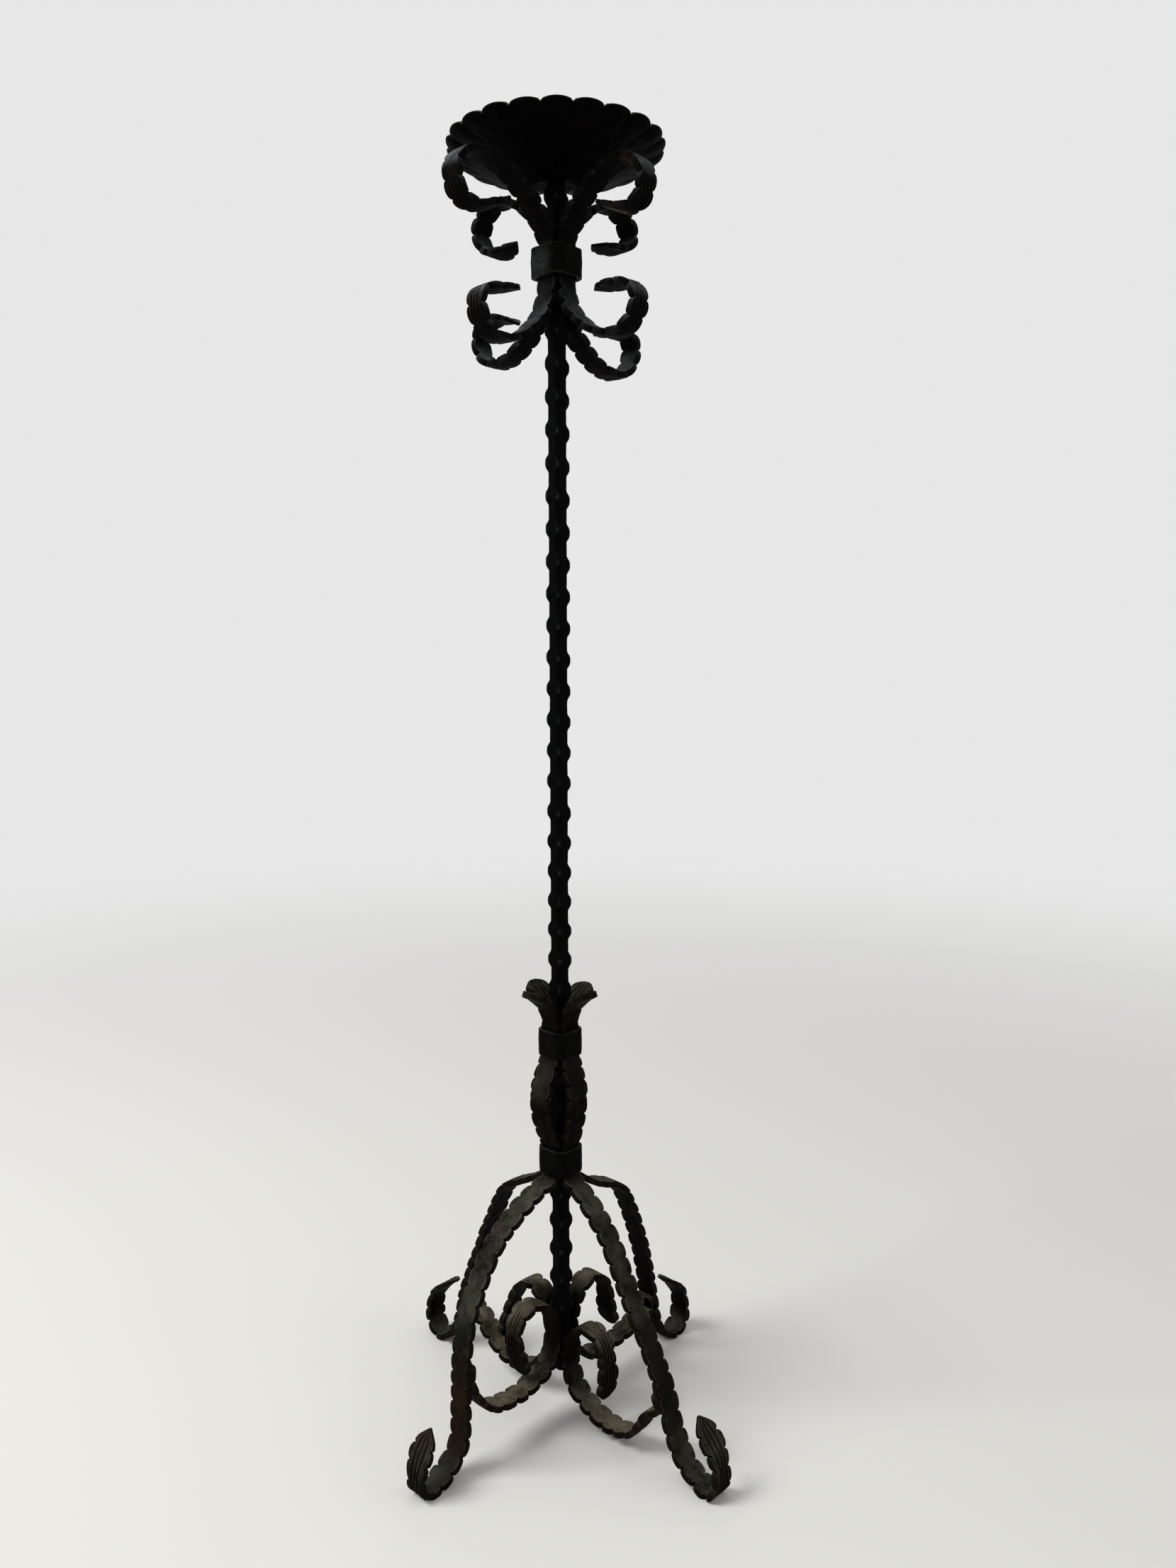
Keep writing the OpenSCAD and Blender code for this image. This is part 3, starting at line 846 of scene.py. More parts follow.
@dataclass(frozen=True)
class ForgedStrap:
    """One strap of the stand, from its drawn-out blank to its bent shape."""

    corner: Corner
    stock: Stock
    iron: Iron
    leaf_at_end: bool = True
    shell_at_start: bool = False

    @property
    def node(self) -> str:
        """Name of the CAD node that the strap stands for."""
        raise NotImplementedError

    def knots(self) -> list[np.ndarray]:
        """Returns the points that the strap was bent to, in millimetres."""
        raise NotImplementedError

    @property
    def seed(self) -> int:
        """Number that makes this strap's handwork its own."""
        return sum(ord(letter) * (place + 1) for place, letter in enumerate(self.node))

    def blank(self, lobes: int) -> bpy.types.Object:
        """Makes the flat bar that the strap is drawn out from.

        Args:
            lobes: Number of lobes along the strap.

        Returns:
            The bar. Its length and width run from -1 to 1, its thickness from 0 to 1.
        """
        take()
        bpy.ops.mesh.primitive_grid_add(
            x_subdivisions=lobes * self.stock.stations_per_lobe,
            y_subdivisions=self.stock.columns,
            size=2,
        )
        bar = bpy.context.object
        edit(bar, "FACE", "SELECT")
        bpy.ops.mesh.extrude_region_move(TRANSFORM_OT_translate={"value": (0, 0, 1)})
        edit(bar, "EDGE")
        cut_uprights(bar, self.stock.wall_cuts)
        close()
        turn_faces_outwards(bar)
        return bar

    def draw_out(self, grid: np.ndarray, total: float, lobes: int) -> dict[str, np.ndarray]:
        """Hammers lobes, leaves, ribs and rounded edges into the blank.

        Args:
            grid: The blank's points.
            total: Length of the strap.
            lobes: Number of lobes along it.

        Returns:
            The straight strap as along, across and out, the height of each point
            in the wall as level, and the marks edge, groove, crest and rim.
        """
        stock = self.stock
        far_apart = 40  # keeps the waver of one edge unlike that of the other
        draw = np.random.default_rng(self.seed)
        across = np.clip(grid[:, 1], -1, 1)
        side = np.abs(across)
        level = grid[:, 2]
        wall = (level > 0.01) & (level < 0.99)
        inner = (level < 0.01).astype(float)
        count = (grid[:, 0] + 1) / 2 * lobes
        pitch = total / lobes
        ends = np.arange(lobes + 1, dtype=float)
        slip = draw.uniform(-1, 1, lobes + 1) * stock.lobe_slip * pitch
        slant = draw.uniform(-1, 1, lobes + 1) * stock.lobe_slant * pitch
        slip[[0, -1]] = 0
        slant[[0, -1]] = 0
        along = np.interp(count, ends, ends * pitch + slip) + across * np.interp(count, ends, slant)
        depths = stock.notch * (1 + draw.uniform(-stock.notch_spread, stock.notch_spread, lobes))
        index = np.clip(count.astype(int), 0, lobes - 1)
        depth, dome = depths[index], arch(np.clip(count - index, 0, 1))

        taper = stock.along_leaf(along, stock.shell if self.shell_at_start else stock.spear)
        extra = stock.leaf_extra(along)
        tail = np.full_like(along, stock.leaf_length)
        if self.leaf_at_end:
            tail = total - along
            taper = taper * stock.along_leaf(tail, stock.spear)
            extra = extra + stock.leaf_extra(tail)
        core = stock.width / 2 - stock.notch + extra
        half = (core + (stock.notch - depth) * 0.5 + depth * dome) * taper
        core = core * taper
        half = np.minimum(half, (stock.width / 2 + extra) * taper)
        bulge = np.where(wall, 1 - (2 * level - 1) ** 2, 0)
        rim = half - stock.edge_round * (1 - bulge)
        y = np.sign(across) * (side * core + side**5 * (rim - core))
        at_tip = (np.abs(grid[:, 0]) > 0.9999) & ~wall
        along = along + np.where(at_tip, -np.sign(grid[:, 0]) * stock.edge_round * 0.6, 0)

        rounded = 0.5 * np.sign(level - 0.5) * (1 - stock.edge_round / stock.thickness)
        out = stock.thickness * np.where(wall, rounded, level - 0.5)
        out = np.where(np.abs(level - 0.5) < 0.01, 0, out)
        thin = 1.0 if self.shell_at_start else stock.along_leaf(along, stock.thin)
        thin = thin * (stock.along_leaf(tail, stock.thin) if self.leaf_at_end else 1.0)
        from_leaf = np.minimum(along, tail) if self.leaf_at_end else along
        fade = 1 - smooth_step(stock.rib_full, stock.rib_end, from_leaf)
        fade *= smooth_step(stock.rib_from, stock.rib_risen, from_leaf)
        wave = np.cos((across + 1) * math.pi * stock.ribs)
        groove = (0.5 + 0.5 * wave) ** stock.rib_sharpness * (1 - side**10) * fade * inner
        out = (out + stock.rib_depth * groove) * thin
        uneven = stock.dents.over(along, y, self.seed) + stock.fine_dents.over(along, y, self.seed)
        out = out + np.where(wall, 0, uneven)
        out = out + stock.crown * side**2 * (inner * (1 - fade) - (level > 0.99))
        y = y + side**2 * stock.waver.over(along, np.sign(across) * far_apart, self.seed)
        return {
            "along": along, "across": y, "out": out, "level": level,
            "edge": np.where(wall, 1.0, np.clip(1 - (half - np.abs(y)) / stock.edge_mark, 0, 1)),
            "groove": groove,
            "crest": np.clip(-wave, 0, 1) ** 2 * (1 - side**6) * fade * inner,
            "rim": (side > 0.999) & ~wall,
        }

    def bend(self, strap: dict[str, np.ndarray], line: np.ndarray, lengths: np.ndarray) -> np.ndarray:
        """Bends the straight strap along its path and fits it to the bar and the floor.

        Args:
            strap: The straight strap.
            line: The path, as distance from the bar's axis and height.
            lengths: Running length along the path.

        Returns:
            The place of each point, in metres.
        """
        step = 1.2
        narrowest = 0.5
        along = np.clip(strap["along"], 0, lengths[-1])

        def at(distance: np.ndarray) -> np.ndarray:
            """Returns the point of the path at a running length."""
            kept = np.clip(distance, 0, lengths[-1])
            return np.stack([np.interp(kept, lengths, line[:, 0]), np.interp(kept, lengths, line[:, 1])], -1)

        heading = at(along + step) - at(along - step)
        heading /= np.linalg.norm(heading, axis=1, keepdims=True)
        place = at(along) + outward(heading) * strap["out"][:, None]
        radius, height = place[:, 0], np.maximum(place[:, 1], 0)
        in_collar = LAYOUT.grip_half + radius - LAYOUT.seat_r - LAYOUT.strap_t / 2
        room = np.where(strap["level"] > 0.99, in_collar, radius - LAYOUT.fit)
        limit = np.maximum(narrowest, room)
        across = np.clip(strap["across"], -limit, limit)
        angle = math.radians(self.corner.angle)
        x = radius * math.cos(angle) - across * math.sin(angle)
        y = radius * math.sin(angle) + across * math.cos(angle)
        return np.stack([x, y, height], -1) * MM

    def build(self, wardrobe: Wardrobe) -> None:
        """Forges the strap, dresses it and hands it in.

        Args:
            wardrobe: Holds the finishes.
        """
        line = smooth_line(self.knots())
        lengths = np.concatenate([[0], np.cumsum(np.linalg.norm(np.diff(line, axis=0), axis=1))])
        lobes = round(lengths[-1] / self.stock.lobe_pitch)
        piece = self.blank(lobes)
        strap = self.draw_out(points_of(piece), lengths[-1], lobes)
        move_points(piece, self.bend(strap, line, lengths))
        turn_faces_outwards(piece)
        for name in ("edge", "groove", "crest", "rim"):
            mark(piece, name, strap[name])
        wardrobe.dress(piece, self.iron, f"{self.node}_forged", self.node, crease_degrees=50)


class Leg(ForgedStrap):
    """A leaf above the upper collar, a belly between the collars, a leg and its foot."""

    @property
    def node(self) -> str:
        """Name of the CAD node that the leg stands for."""
        return f"leg_{self.corner.name}"

    def knots(self) -> list[np.ndarray]:
        """Lists the points of the leg, from its upper leaf to its foot.

        Returns:
            The points, in millimetres.
        """
        foot = LAYOUT.span("lower_leg_collar")[1]
        high, top = LAYOUT.span("upper_leg_collar")
        head = self.corner.head
        lean, rise = LAYOUT.leaf_lean * head.lean / 100, LAYOUT.leaf_rise * head.rise / 100
        leaf = knots_from(LEAF_ABOVE_COLLAR, top, lean, rise)
        belly = knots_from(BELLY, foot, LAYOUT.belly_out * head.belly / 100, high - foot)
        upper_seat, lower_seat = knots_in("upper_leg_collar"), knots_in("lower_leg_collar")
        return leaf + upper_seat + belly + lower_seat + knots_at_base(self.corner.leg)


class DoubleScroll(ForgedStrap):
    """A strap held by the top collar, which curls above it and below it."""

    @property
    def node(self) -> str:
        """Name of the CAD node that the scroll stands for."""
        return f"scroll_{self.corner.name}"

    @staticmethod
    def curl(bend: Bend, start: float, reach: float, rise: float) -> list[np.ndarray]:
        """Returns the points of one curl, from the collar to its leaf."""
        opened = tuple((x + bend.opened * out, z) for (x, z), out in zip(CURL, OPENING))
        return knots_from(opened + bend.way_back, start, reach * bend.reach / 100, rise * bend.rise / 100)

    def knots(self) -> list[np.ndarray]:
        """Lists the points of the scroll, from its high leaf to its low one.

        Returns:
            The points, in millimetres.
        """
        low, high = LAYOUT.span("top_collar")
        above = self.curl(self.corner.high, high, LAYOUT.high_scroll_reach, LAYOUT.high_scroll_rise)
        below = self.curl(self.corner.low, low, LAYOUT.low_scroll_reach, -LAYOUT.low_scroll_drop)
        return above[::-1] + knots_in("top_collar") + below


class BaseScroll(ForgedStrap):
    """A short scroll on the foot of the bar, lapped on the inner face of a leg."""

    @property
    def node(self) -> str:
        """Name of the CAD node that the base scroll stands for."""
        return f"base_scroll_{self.corner.name}"

    def lap(self, slide: float) -> np.ndarray:
        """Places a point of the lap on the leg.

        Args:
            slide: Its distance along the leg from the middle of the lap.

        Returns:
            The point, in millimetres.
        """
        before, here, after = knots_at_base(self.corner.leg[WELD_POINT - 1:WELD_POINT + 2])
        heading = (after - before) / np.linalg.norm(after - before)
        return here - outward(heading) * (self.stock.thickness + LAYOUT.fit) + heading * slide

    def knots(self) -> list[np.ndarray]:
        """Returns the points of the scroll, from its leaf to its lap."""
        half_lap = self.stock.lobe_pitch / 2
        return knots_at_base(self.corner.base) + [self.lap(half_lap), self.lap(-half_lap)]


# ---- Bar, bands, pan and pricket ----------------------------------------------------


@dataclass(frozen=True)
class Bar:
    """The square bar, with hammered beads along its corners. In millimetres."""

    side: float = LAYOUT.stem_side
    neck: float = 13.0
    bead_pitch: float = 22.75
    bead_length: float = 12.4
    bead_fullness: float = 1.25
    bead_drop: float = 11.8
    bead_stand: float = 1.9
    bead_swell: float = 0.32
    bead_stagger: float = 2.0
    crowd_at: float = 0.6
    crowd_reach: float = 0.22
    crowding: float = 2.8
    end_draw: float = 0.8
    tenon_d: float = 8.0
    tenon_inset: float = 0.4
    sides: int = 128
    cuts: int = 22
    sharpness: float = 36.0
    dents: Ripple = Ripple(41, 17.0, 0.14)
    fine_dents: Ripple = Ripple(43, 6.0, 0.07)
    bead_highlight: float = 0.65
    highlight_from: float = 0.93
    highlight_reach: float = 0.07

    def bead(self, height: np.ndarray, shift: np.ndarray, top: float, foot: float) -> np.ndarray:
        """Shapes the row of beads along the bar.

        Args:
            height: Height of each point.
            shift: How far the beads lie along the bar at each point.
            top: Top of the bar.
            foot: Lower end of the bar.

        Returns:
            How far a bead stands out at each point, from 0 to 1.
        """
        first = top - self.bead_drop
        count = math.floor((first - foot - self.bead_pitch / 2) / self.bead_pitch)
        index = np.clip(np.round((first + shift - height) / self.bead_pitch), 0, count)
        centre = first + shift - index * self.bead_pitch
        share = np.clip(np.abs(height - centre) / (self.bead_length / 2), 0, 1)
        return (1 - share**2) ** self.bead_fullness

    def build(self, wardrobe: Wardrobe) -> None:
        """Forges the bar and its tenon, dresses it and hands it in.

        Args:
            wardrobe: Holds the finishes.
        """
        foot, tip = LAYOUT.span("stem")
        top = LAYOUT.span("drip_pan")[0]
        take()
        bpy.ops.mesh.primitive_cylinder_add(vertices=self.sides, radius=1, depth=2)
        piece = bpy.context.object
        edit(piece, "EDGE")
        for _ in range(2):
            cut_uprights(piece, self.cuts)
        close()
        grid = points_of(piece)
        angle = np.arctan2(grid[:, 1], grid[:, 0])
        climb = (grid[:, 2] + 1) / 2
        height = foot + climb * (top - foot)
        on_x = np.cos(angle) ** 2 > 0.5
        stagger = np.where(on_x, -np.sign(np.cos(angle)) * self.bead_stagger * climb, 0)
        crowd = np.clip(np.abs(climb - self.crowd_at) / self.crowd_reach, 0, 1) ** 2 * self.crowding
        bead = self.bead(height, stagger + crowd, top, foot)
        full = self.side * math.sqrt(2) + self.bead_stand
        to_corner = np.where(on_x, np.abs(np.cos(angle)), np.abs(np.sin(angle)))
        to_flat = np.cos(np.abs(np.mod(angle, math.pi / 2) - math.pi / 4))
        flat = (self.side / 2 + self.bead_swell * bead) / to_flat
        cut = (self.neck + (full - self.neck) * bead) / 2 / to_corner
        radius = (flat**-self.sharpness + cut**-self.sharpness) ** (-1 / self.sharpness)
        around = angle * self.side / 2
        radius = radius - np.abs(self.dents.over(height, around) + self.fine_dents.over(height, around))
        radius = np.where(np.abs(grid[:, 2]) > 0.999, radius - self.end_draw, radius)
        move_points(piece, around_axis(radius, angle, height))
        # The edge mark here is a painted highlight on the bead corners.
        near_corner = np.clip((to_corner - self.highlight_from) / self.highlight_reach, 0, 1)
        mark(piece, "edge", bead**2 * near_corner**2 * self.bead_highlight)
        self.raise_tenon(piece, top, tip)
        wardrobe.dress(piece, Iron.BAR, "hammered_bar", "stem", crease_degrees=40)

    def raise_tenon(self, piece: bpy.types.Object, top: float, tip: float) -> None:
        """Draws the round tenon out of the top of the bar.

        Args:
            piece: The bar.
            top: Height of the bar's top.
            tip: Height of the tenon's top.
        """
        edit(piece, "FACE")
        pick(piece, "faces", lambda face: (
            face.calc_center_median().z > (top - 0.01) * MM and face.normal.z > 0.9
        ))
        bpy.ops.mesh.inset(thickness=self.tenon_inset * MM)
        shape = bmesh.from_edit_mesh(piece.data)
        for vertex in (v for v in shape.verts if v.select):
            reach = math.hypot(vertex.co.x, vertex.co.y)
            vertex.co.x *= self.tenon_d / 2 * MM / reach
            vertex.co.y *= self.tenon_d / 2 * MM / reach
        bmesh.update_edit_mesh(piece.data)
        bpy.ops.mesh.extrude_region_move(TRANSFORM_OT_translate={"value": (0, 0, (tip - top) * MM)})
        close()


@dataclass(frozen=True)
class Band:
    """A collar closed round the bar and its straps. In millimetres."""

    node: str
    wall: float = 2.5
    corner_round: float = 8.0
    edge_round: float = 0.45
    edge_mark: float = 0.9
    fullness: float = 0.18
    dents: Ripple = Ripple(0, 9.0, 0.12)
    rim_waver: Ripple = Ripple(3, 24.0, 0.25)
    draw_in: float = 0.25
    corner_points: int = 11
    flat_points: int = 5
    cuts: int = 9

    def outline(self) -> np.ndarray:
        """Draws the rounded square of the band, with its flats to the straps.

        Returns:
            The points of the outline, in millimetres.
        """
        half = LAYOUT.bundle_half + self.wall
        centre = math.sqrt(2) * (half - self.corner_round)
        arcs = []
        for start in (45, 135, 225, 315):
            middle = math.radians(start + 45)
            turns = np.radians(np.linspace(start, start + 90, self.corner_points))
            arc = self.corner_round * np.stack([np.cos(turns), np.sin(turns)], -1)
            arcs.append(arc + centre * np.array([math.cos(middle), math.sin(middle)]))
        share = np.linspace(0, 1, self.flat_points + 2)[1:-1, None]
        run = []
        for arc, after in zip(arcs, arcs[1:] + arcs[:1]):
            run += [arc, arc[-1] + share * (after[0] - arc[-1])]
        return np.concatenate(run)

    def build(self, wardrobe: Wardrobe) -> None:
        """Forges the band, dresses it and hands it in.

        Args:
            wardrobe: Holds the finishes.
        """
        low, high = LAYOUT.span(self.node)
        outline = self.outline()
        take()
        bpy.ops.mesh.primitive_cylinder_add(
            vertices=len(outline), radius=1, depth=2, end_fill_type="NOTHING"
        )
        piece = bpy.context.object
        edit(piece, "EDGE")
        cut_uprights(piece, self.cuts)
        close()
        grid = points_of(piece)
        turn = np.mod(np.arctan2(grid[:, 0], grid[:, 1]), 2 * math.pi)
        index = np.round(turn / (2 * math.pi) * len(outline)) % len(outline)
        place = outline[-index.astype(int)]
        height = low + (grid[:, 2] + 1) / 2 * (high - low)
        level = np.abs(grid[:, 2])
        seed = len(self.node)
        swell = self.fullness * (1 - level**2) + self.dents.over(height, index, seed)
        reach = np.linalg.norm(place, axis=1, keepdims=True)
        place = place * (1 + (swell[:, None] - self.draw_in) / reach)
        lift = np.where(level > 0.99, self.rim_waver.over(index, index * 0, seed), 0)
        height = np.clip(height + lift * np.sign(grid[:, 2]), low, high)
        move_points(piece, np.column_stack([place, height]) * MM)
        turn_faces_outwards(piece)
        self.face_away(piece)
        apply_modifier(piece, "SOLIDIFY", thickness=self.wall * MM, offset=-1)
        round_edges(piece, self.edge_round, segments=3, crease_degrees=50)
        turn_faces_outwards(piece)
        shaped = points_of(piece) / MM
        from_rim = np.minimum(shaped[:, 2] - low, high - shaped[:, 2])
        mark(piece, "edge", np.clip(1 - from_rim / self.edge_mark, 0, 1))
        wardrobe.dress(piece, Iron.BAND, f"{self.node}_band", self.node, crease_degrees=40)

    @staticmethod
    def face_away(piece: bpy.types.Object) -> None:
        """Turns the faces of an open ring away from its axis.

        Args:
            piece: The ring.
        """
        face = piece.data.polygons[0]
        if face.normal.x * face.center.x + face.normal.y * face.center.y < 0:
            edit(piece, "FACE", "SELECT")
            bpy.ops.mesh.flip_normals()
            close()


@dataclass(frozen=True)
class DripPan:
    """The beaten pan with its fluted rim. In millimetres."""

    wall: float = 2.0
    floor_r: float = 15.0
    rim_r: float = 77.5
    rise: float = 26.2
    flutes: int = 22
    flute_length: float = 16.0
    flute_in: float = 3.0
    flute_down: float = 3.0
    flute_lean: float = 0.8
    hole_r: float = 4.25
    edge_round: float = 0.35
    floor_share: float = 0.14
    bend_share: float = 0.52
    crown_out: float = 0.9
    crown_up: float = 0.8
    beaten: float = 0.95
    waves: Ripple = Ripple(7, 30.0, 0.3)
    dents: Ripple = Ripple(9, 11.0, 0.2)
    valley_from: float = 0.5
    valley_to: float = 0.7
    valley_mark: float = 0.8
    rim_highlight_from: float = 0.955
    turns_per_flute: int = 14
    rings: int = 26
    seed: int = 22

    def section(self, share: np.ndarray, dome: np.ndarray, foot: float) -> np.ndarray:
        """Shapes the pan's underside from its hole to its rim.

        Args:
            share: 0 at the hole and 1 at the rim.
            dome: 0 in a valley between two flutes and 1 on top of one.
            foot: Height of the underside of the floor.

        Returns:
            Distance from the axis and height of each point.
        """
        flute_r = self.rim_r - self.flute_length
        slope = (self.rise - self.flute_down) / (self.rim_r - self.floor_r)
        bends = [0, self.floor_share, self.bend_share]
        cone_r = np.interp(share, bends, [self.hole_r, self.floor_r, flute_r])
        cone_z = foot + slope * np.maximum(cone_r - self.floor_r, 0)
        lip = np.clip((share - self.bend_share) / (1 - self.bend_share), 0, 1)
        top_z = foot + slope * (flute_r - self.floor_r)
        valley = np.stack([
            flute_r + lip * (self.flute_length - self.flute_in),
            top_z + lip * (foot + self.rise - self.flute_down - top_z),
        ], -1)
        crown = np.stack([
            flute_r + self.flute_length * np.sin(lip * math.pi / 2) ** self.crown_out,
            top_z + (foot + self.rise - top_z) * (1 - np.cos(lip * math.pi / 2)) ** self.crown_up,
        ], -1)
        fluted = valley + (crown - valley) * dome[:, None]
        return np.where((share > self.bend_share)[:, None], fluted, np.stack([cone_r, cone_z], -1))

    def sheet(self) -> bpy.types.Object:
        """Makes the flat sheet that the pan is beaten from.

        Returns:
            An open sheet of even rings round a hole.
        """
        take()
        bpy.ops.mesh.primitive_circle_add(
            vertices=self.flutes * self.turns_per_flute, radius=1, fill_type="NOTHING"
        )
        piece = bpy.context.object
        edit(piece, "EDGE", "SELECT")
        for ring in range(1, self.rings + 1):
            bpy.ops.mesh.extrude_edges_move()
            growth = (ring + 1) / ring
            bpy.ops.transform.resize(value=(growth, growth, 1))
        close()
        return piece

    def build(self, wardrobe: Wardrobe) -> None:
        """Beats the pan, dresses it and hands it in.

        Args:
            wardrobe: Holds the finishes.
        """
        foot = LAYOUT.span("drip_pan")[0]
        piece = self.sheet()
        grid = points_of(piece)
        share = (np.hypot(grid[:, 0], grid[:, 1]) - 1) / self.rings
        angle = np.arctan2(grid[:, 1], grid[:, 0])
        flute = (angle + math.pi / 2) / (2 * math.pi) * self.flutes + 0.5
        dome = arch(np.mod(flute, 1))
        radius, height = self.section(share, dome, foot).T
        x, y = radius * np.cos(angle), radius * np.sin(angle)
        height = height + self.waves.over(x, y) * (share * (1 - share) * 4)
        height = height + self.dents.over(x, y) * np.clip(share * 3, 0, 1) * (1 - share**4)
        index = np.mod(np.floor(flute), self.flutes).astype(int)
        lean = np.random.default_rng(self.seed).uniform(-1, 1, self.flutes)[index]
        radius = radius - np.abs(lean) * self.flute_lean * share**3 * dome
        move_points(piece, around_axis(radius, angle, height))
        self.face_down(piece)
        valley = (1 - dome) * smooth_step(self.valley_from, self.valley_to, share)
        # The edge mark here is a painted highlight along the rim.
        mark(piece, "edge", smooth_step(self.rim_highlight_from, 1.0, share))
        mark(piece, "groove", valley**3 * self.valley_mark)
        apply_modifier(piece, "SOLIDIFY", thickness=self.wall * self.beaten * MM, offset=-1)
        round_edges(piece, self.edge_round, segments=2, crease_degrees=60)
        wardrobe.dress(piece, Iron.PAN, "beaten_drip_pan", "drip_pan", crease_degrees=48)

    @staticmethod
    def face_down(piece: bpy.types.Object) -> None:
        """Turns the faces of the open sheet downwards, so that its wall grows up.

        Args:
            piece: The sheet.
        """
        edit(piece, "FACE", "SELECT")
        bpy.ops.mesh.normals_make_consistent(inside=False)
        shape = bmesh.from_edit_mesh(piece.data)
        if sum(face.normal.z * face.calc_area() for face in shape.faces) > 0:
            bpy.ops.mesh.flip_normals()
        close()


@dataclass(frozen=True)
class Pricket:
    """The foot and spike that hold the candle. In millimetres."""

    foot_d: float = 28.0
    foot_t: float = 2.0
    root_d: float = 11.0
    fillet: float = 1.5
    tenon_stand: float = 5.0
    waist: float = 0.62
    tip_r: float = 0.6
    point: float = 3.0
    nose: float = 0.6
    edge_round: float = 0.4
    dents: Ripple = Ripple(3, 8.0, 0.03)
    sides: int = 64

    def build(self, wardrobe: Wardrobe) -> None:
        """Draws the pricket out of its foot, dresses it and hands it in.

        Args:
            wardrobe: Holds the finishes.
        """
        base, tip = LAYOUT.span("pricket")
        root_r = self.root_d / 2
        shoulder = base + self.foot_t + self.tenon_stand
        take()
        bpy.ops.mesh.primitive_cylinder_add(
            vertices=self.sides,
            radius=self.foot_d / 2 * MM,
            depth=self.foot_t * MM,
            location=(0, 0, (base + self.foot_t / 2) * MM),
        )
        piece = bpy.context.object
        bpy.ops.object.transform_apply(location=True, rotation=True, scale=True)
        edit(piece, "FACE")
        pick(piece, "faces", lambda face: face.normal.z > 0.9)
        bpy.ops.mesh.inset(thickness=(self.foot_d / 2 - root_r - self.fillet) * MM)
        steps = (
            (root_r + self.fillet * 0.3, base + self.foot_t + self.fillet * 0.45),
            (root_r, base + self.foot_t + self.fillet),
            (root_r, shoulder),
            (root_r * (1 + self.waist) / 2, (shoulder * 3 + tip) / 4),
            (root_r * self.waist, (shoulder + tip) / 2),
            (root_r * self.waist * 0.6, (shoulder + tip * 3) / 4),
            (self.tip_r * 2, tip - self.point),
            (self.tip_r, tip - self.nose),
            (self.tip_r * 0.4, tip),
        )
        radius, height = root_r + self.fillet, base + self.foot_t
        for next_radius, next_height in steps:
            rise = (0, 0, (next_height - height) * MM)
            bpy.ops.mesh.extrude_region_move(TRANSFORM_OT_translate={"value": rise})
            growth = next_radius / radius
            bpy.ops.transform.resize(value=(growth, growth, 1))
            radius, height = next_radius, next_height
        close()
        round_edges(piece, self.edge_round, segments=2, crease_degrees=60)
        points = points_of(piece)
        angle, height = np.arctan2(points[:, 1], points[:, 0]), points[:, 2] / MM
        points[:, :2] *= (1 - np.abs(self.dents.over(angle * 4, height)))[:, None]
        move_points(piece, points)
        mark(piece, "edge", np.clip((height - shoulder) / (tip - shoulder), 0, 1))
        wardrobe.dress(piece, Iron.BAR, "pricket_spike", "pricket", crease_degrees=40)


# ---- Studio ----------------------------------------------------------------------


@dataclass(frozen=True)
class Lamp:
    """One soft square lamp. In metres and watts."""

    name: str
    place: Point
    size: float
    power: float


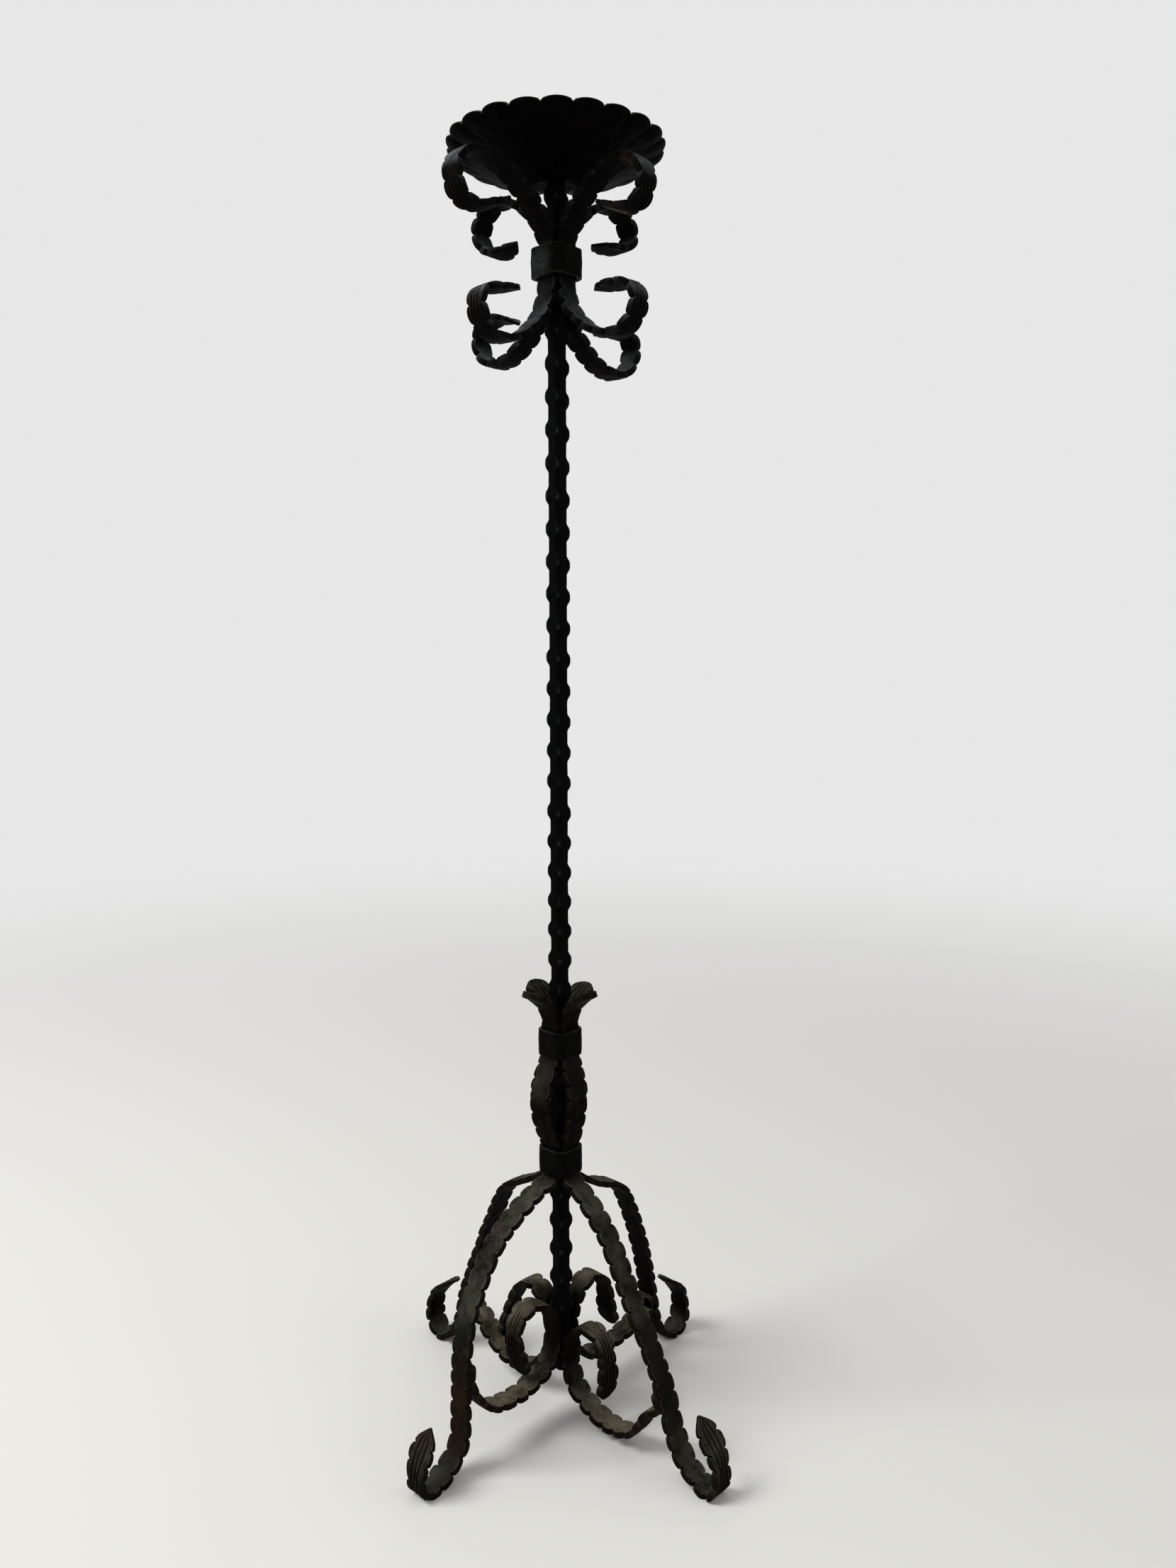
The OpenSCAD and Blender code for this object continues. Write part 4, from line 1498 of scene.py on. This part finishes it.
@dataclass(frozen=True)
class Studio:
    """Pale floor, soft light and the photograph's camera.

    Places and sizes are in metres, turns in degrees, the sensor in millimetres.
    """

    picture_height: float = 2212.0
    focal_pixels: float = 1661.0
    sensor: float = 36.0
    camera_place: Point = (-0.0078, -0.8672, 0.582)
    camera_pitch: float = 83.91
    camera_turn: float = -1.95
    camera_roll: float = 0.12
    floor_size: float = 14.0
    floor_near: float = 0.35
    floor_far: float = 2.6
    floor_colour: Colour = (0.78, 0.76, 0.73)
    floor_roughness: float = 0.85
    floor_sheen: float = 0.2
    backdrop: Colour = (0.8, 0.805, 0.8)
    sky_strength: float = 0.5
    aim: Point = (0, 0, 0.5)
    lamps: tuple[Lamp, ...] = (
        Lamp("key_lamp", (-1.7, -0.5, 2.2), 1.2, 50),
        Lamp("fill_lamp", (1.9, -1.2, 1.4), 1.6, 6),
    )

    def camera(self) -> None:
        """Puts the camera where the photograph was taken from."""
        view = bpy.data.cameras.new("photo_camera")
        view.sensor_width = self.sensor
        view.lens = self.focal_pixels / self.picture_height * self.sensor
        view.clip_start = 0.01
        holder = bpy.data.objects.new("photo_camera", view)
        holder.location = self.camera_place
        turns = (self.camera_pitch, self.camera_roll, self.camera_turn)
        holder.rotation_euler = [math.radians(turn) for turn in turns]
        bpy.context.scene.collection.objects.link(holder)
        bpy.context.scene.camera = holder

    @staticmethod
    def seen(shader: Shader) -> Signal:
        """Tells what is looked at from what only gives light.

        Args:
            shader: The tree that the nodes go into.

        Returns:
            1 for rays from the eye, a reflection or clear glass, and 0 for lighting.
        """
        rays = ("Is Camera Ray", "Is Glossy Ray", "Is Transmission Ray")
        eye, reflection, glass = (shader.signal(ray, "ShaderNodeLightPath") for ray in rays)
        return (eye + reflection + glass).clamped()

    @staticmethod
    def mix(shader: Shader, share: Signal, below: bpy.types.Node, above: bpy.types.Node) -> dict:
        """Returns the input of an output node that mixes two shaders."""
        inputs = {0: share, 1: below.outputs[0], 2: above.outputs[0]}
        return {0: shader.node("ShaderNodeMixShader", None, inputs).outputs[0]}

    def floor(self) -> None:
        """Lays the pale floor, which runs into the backdrop far from the stand."""
        take()
        bpy.ops.mesh.primitive_plane_add(size=self.floor_size)
        floor = bpy.context.object
        floor.name = "floor"
        material = bpy.data.materials.new("pale_floor")
        material.use_nodes = True
        shader = Shader(material.node_tree)
        surface = shader.node("ShaderNodeBsdfPrincipled", None, {
            "Base Color": self.floor_colour,
            "Roughness": self.floor_roughness,
            "Specular IOR Level": self.floor_sheen,
        })
        far = shader.node("ShaderNodeEmission", None, {"Color": self.backdrop})
        share = shader.from_axis().between(self.floor_near, self.floor_far) * self.seen(shader)
        shader.node("ShaderNodeOutputMaterial", None, self.mix(shader, share, surface, far))
        floor.data.materials.append(material)

    def sky(self) -> None:
        """Sets the even light of the studio and the pale backdrop that the eye sees."""
        world = bpy.data.worlds.new("studio")
        world.use_nodes = True
        bpy.context.scene.world = world
        shader = Shader(world.node_tree)
        light = shader.node("ShaderNodeBackground", None, {0: (1, 1, 1), 1: self.sky_strength})
        shown = shader.node("ShaderNodeBackground", None, {0: self.backdrop, 1: 1.0})
        shader.node("ShaderNodeOutputWorld", None, self.mix(shader, self.seen(shader), light, shown))

    def hang(self, lamp: Lamp) -> None:
        """Hangs one lamp so that it looks at the middle of the stand.

        Args:
            lamp: The lamp.
        """
        light = bpy.data.lights.new(lamp.name, "AREA")
        light.size = lamp.size
        light.energy = lamp.power
        holder = bpy.data.objects.new(lamp.name, light)
        holder.location = lamp.place
        away = np.array(lamp.place) - np.array(self.aim)
        flat = math.hypot(away[0], away[1])
        holder.rotation_euler = (math.atan2(flat, away[2]), 0, math.atan2(away[0], -away[1]))
        bpy.context.scene.collection.objects.link(holder)

    def build(self) -> None:
        """Sets up the whole studio."""
        self.camera()
        self.floor()
        self.sky()
        for lamp in self.lamps:
            self.hang(lamp)
        bpy.context.scene.view_settings.view_transform = "Standard"


# ---- Build -----------------------------------------------------------------------


def main() -> None:
    """Builds the stand piece by piece and sets up the studio."""
    logging.basicConfig(level=logging.INFO, format="%(name)s: %(message)s")
    wardrobe = Wardrobe()
    leg_stock = Stock(width=18.5)
    scroll_stock = Stock(width=17.5)
    Studio().build()
    pieces = [
        Bar(), DripPan(), Pricket(),
        Band("top_collar", wall=3.7), Band("upper_leg_collar"), Band("lower_leg_collar"),
    ]
    for corner in CORNERS:
        pieces += [
            DoubleScroll(corner, scroll_stock, Iron.HIGH_SCROLL),
            Leg(corner, leg_stock, Iron.LEG, shell_at_start=True),
            BaseScroll(corner, scroll_stock, Iron.BASE_SCROLL, leaf_at_end=False, shell_at_start=True),
        ]
    for piece in pieces:
        piece.build(wardrobe)
    bpy.context.view_layer.update()


if __name__ == "__main__":
    main()
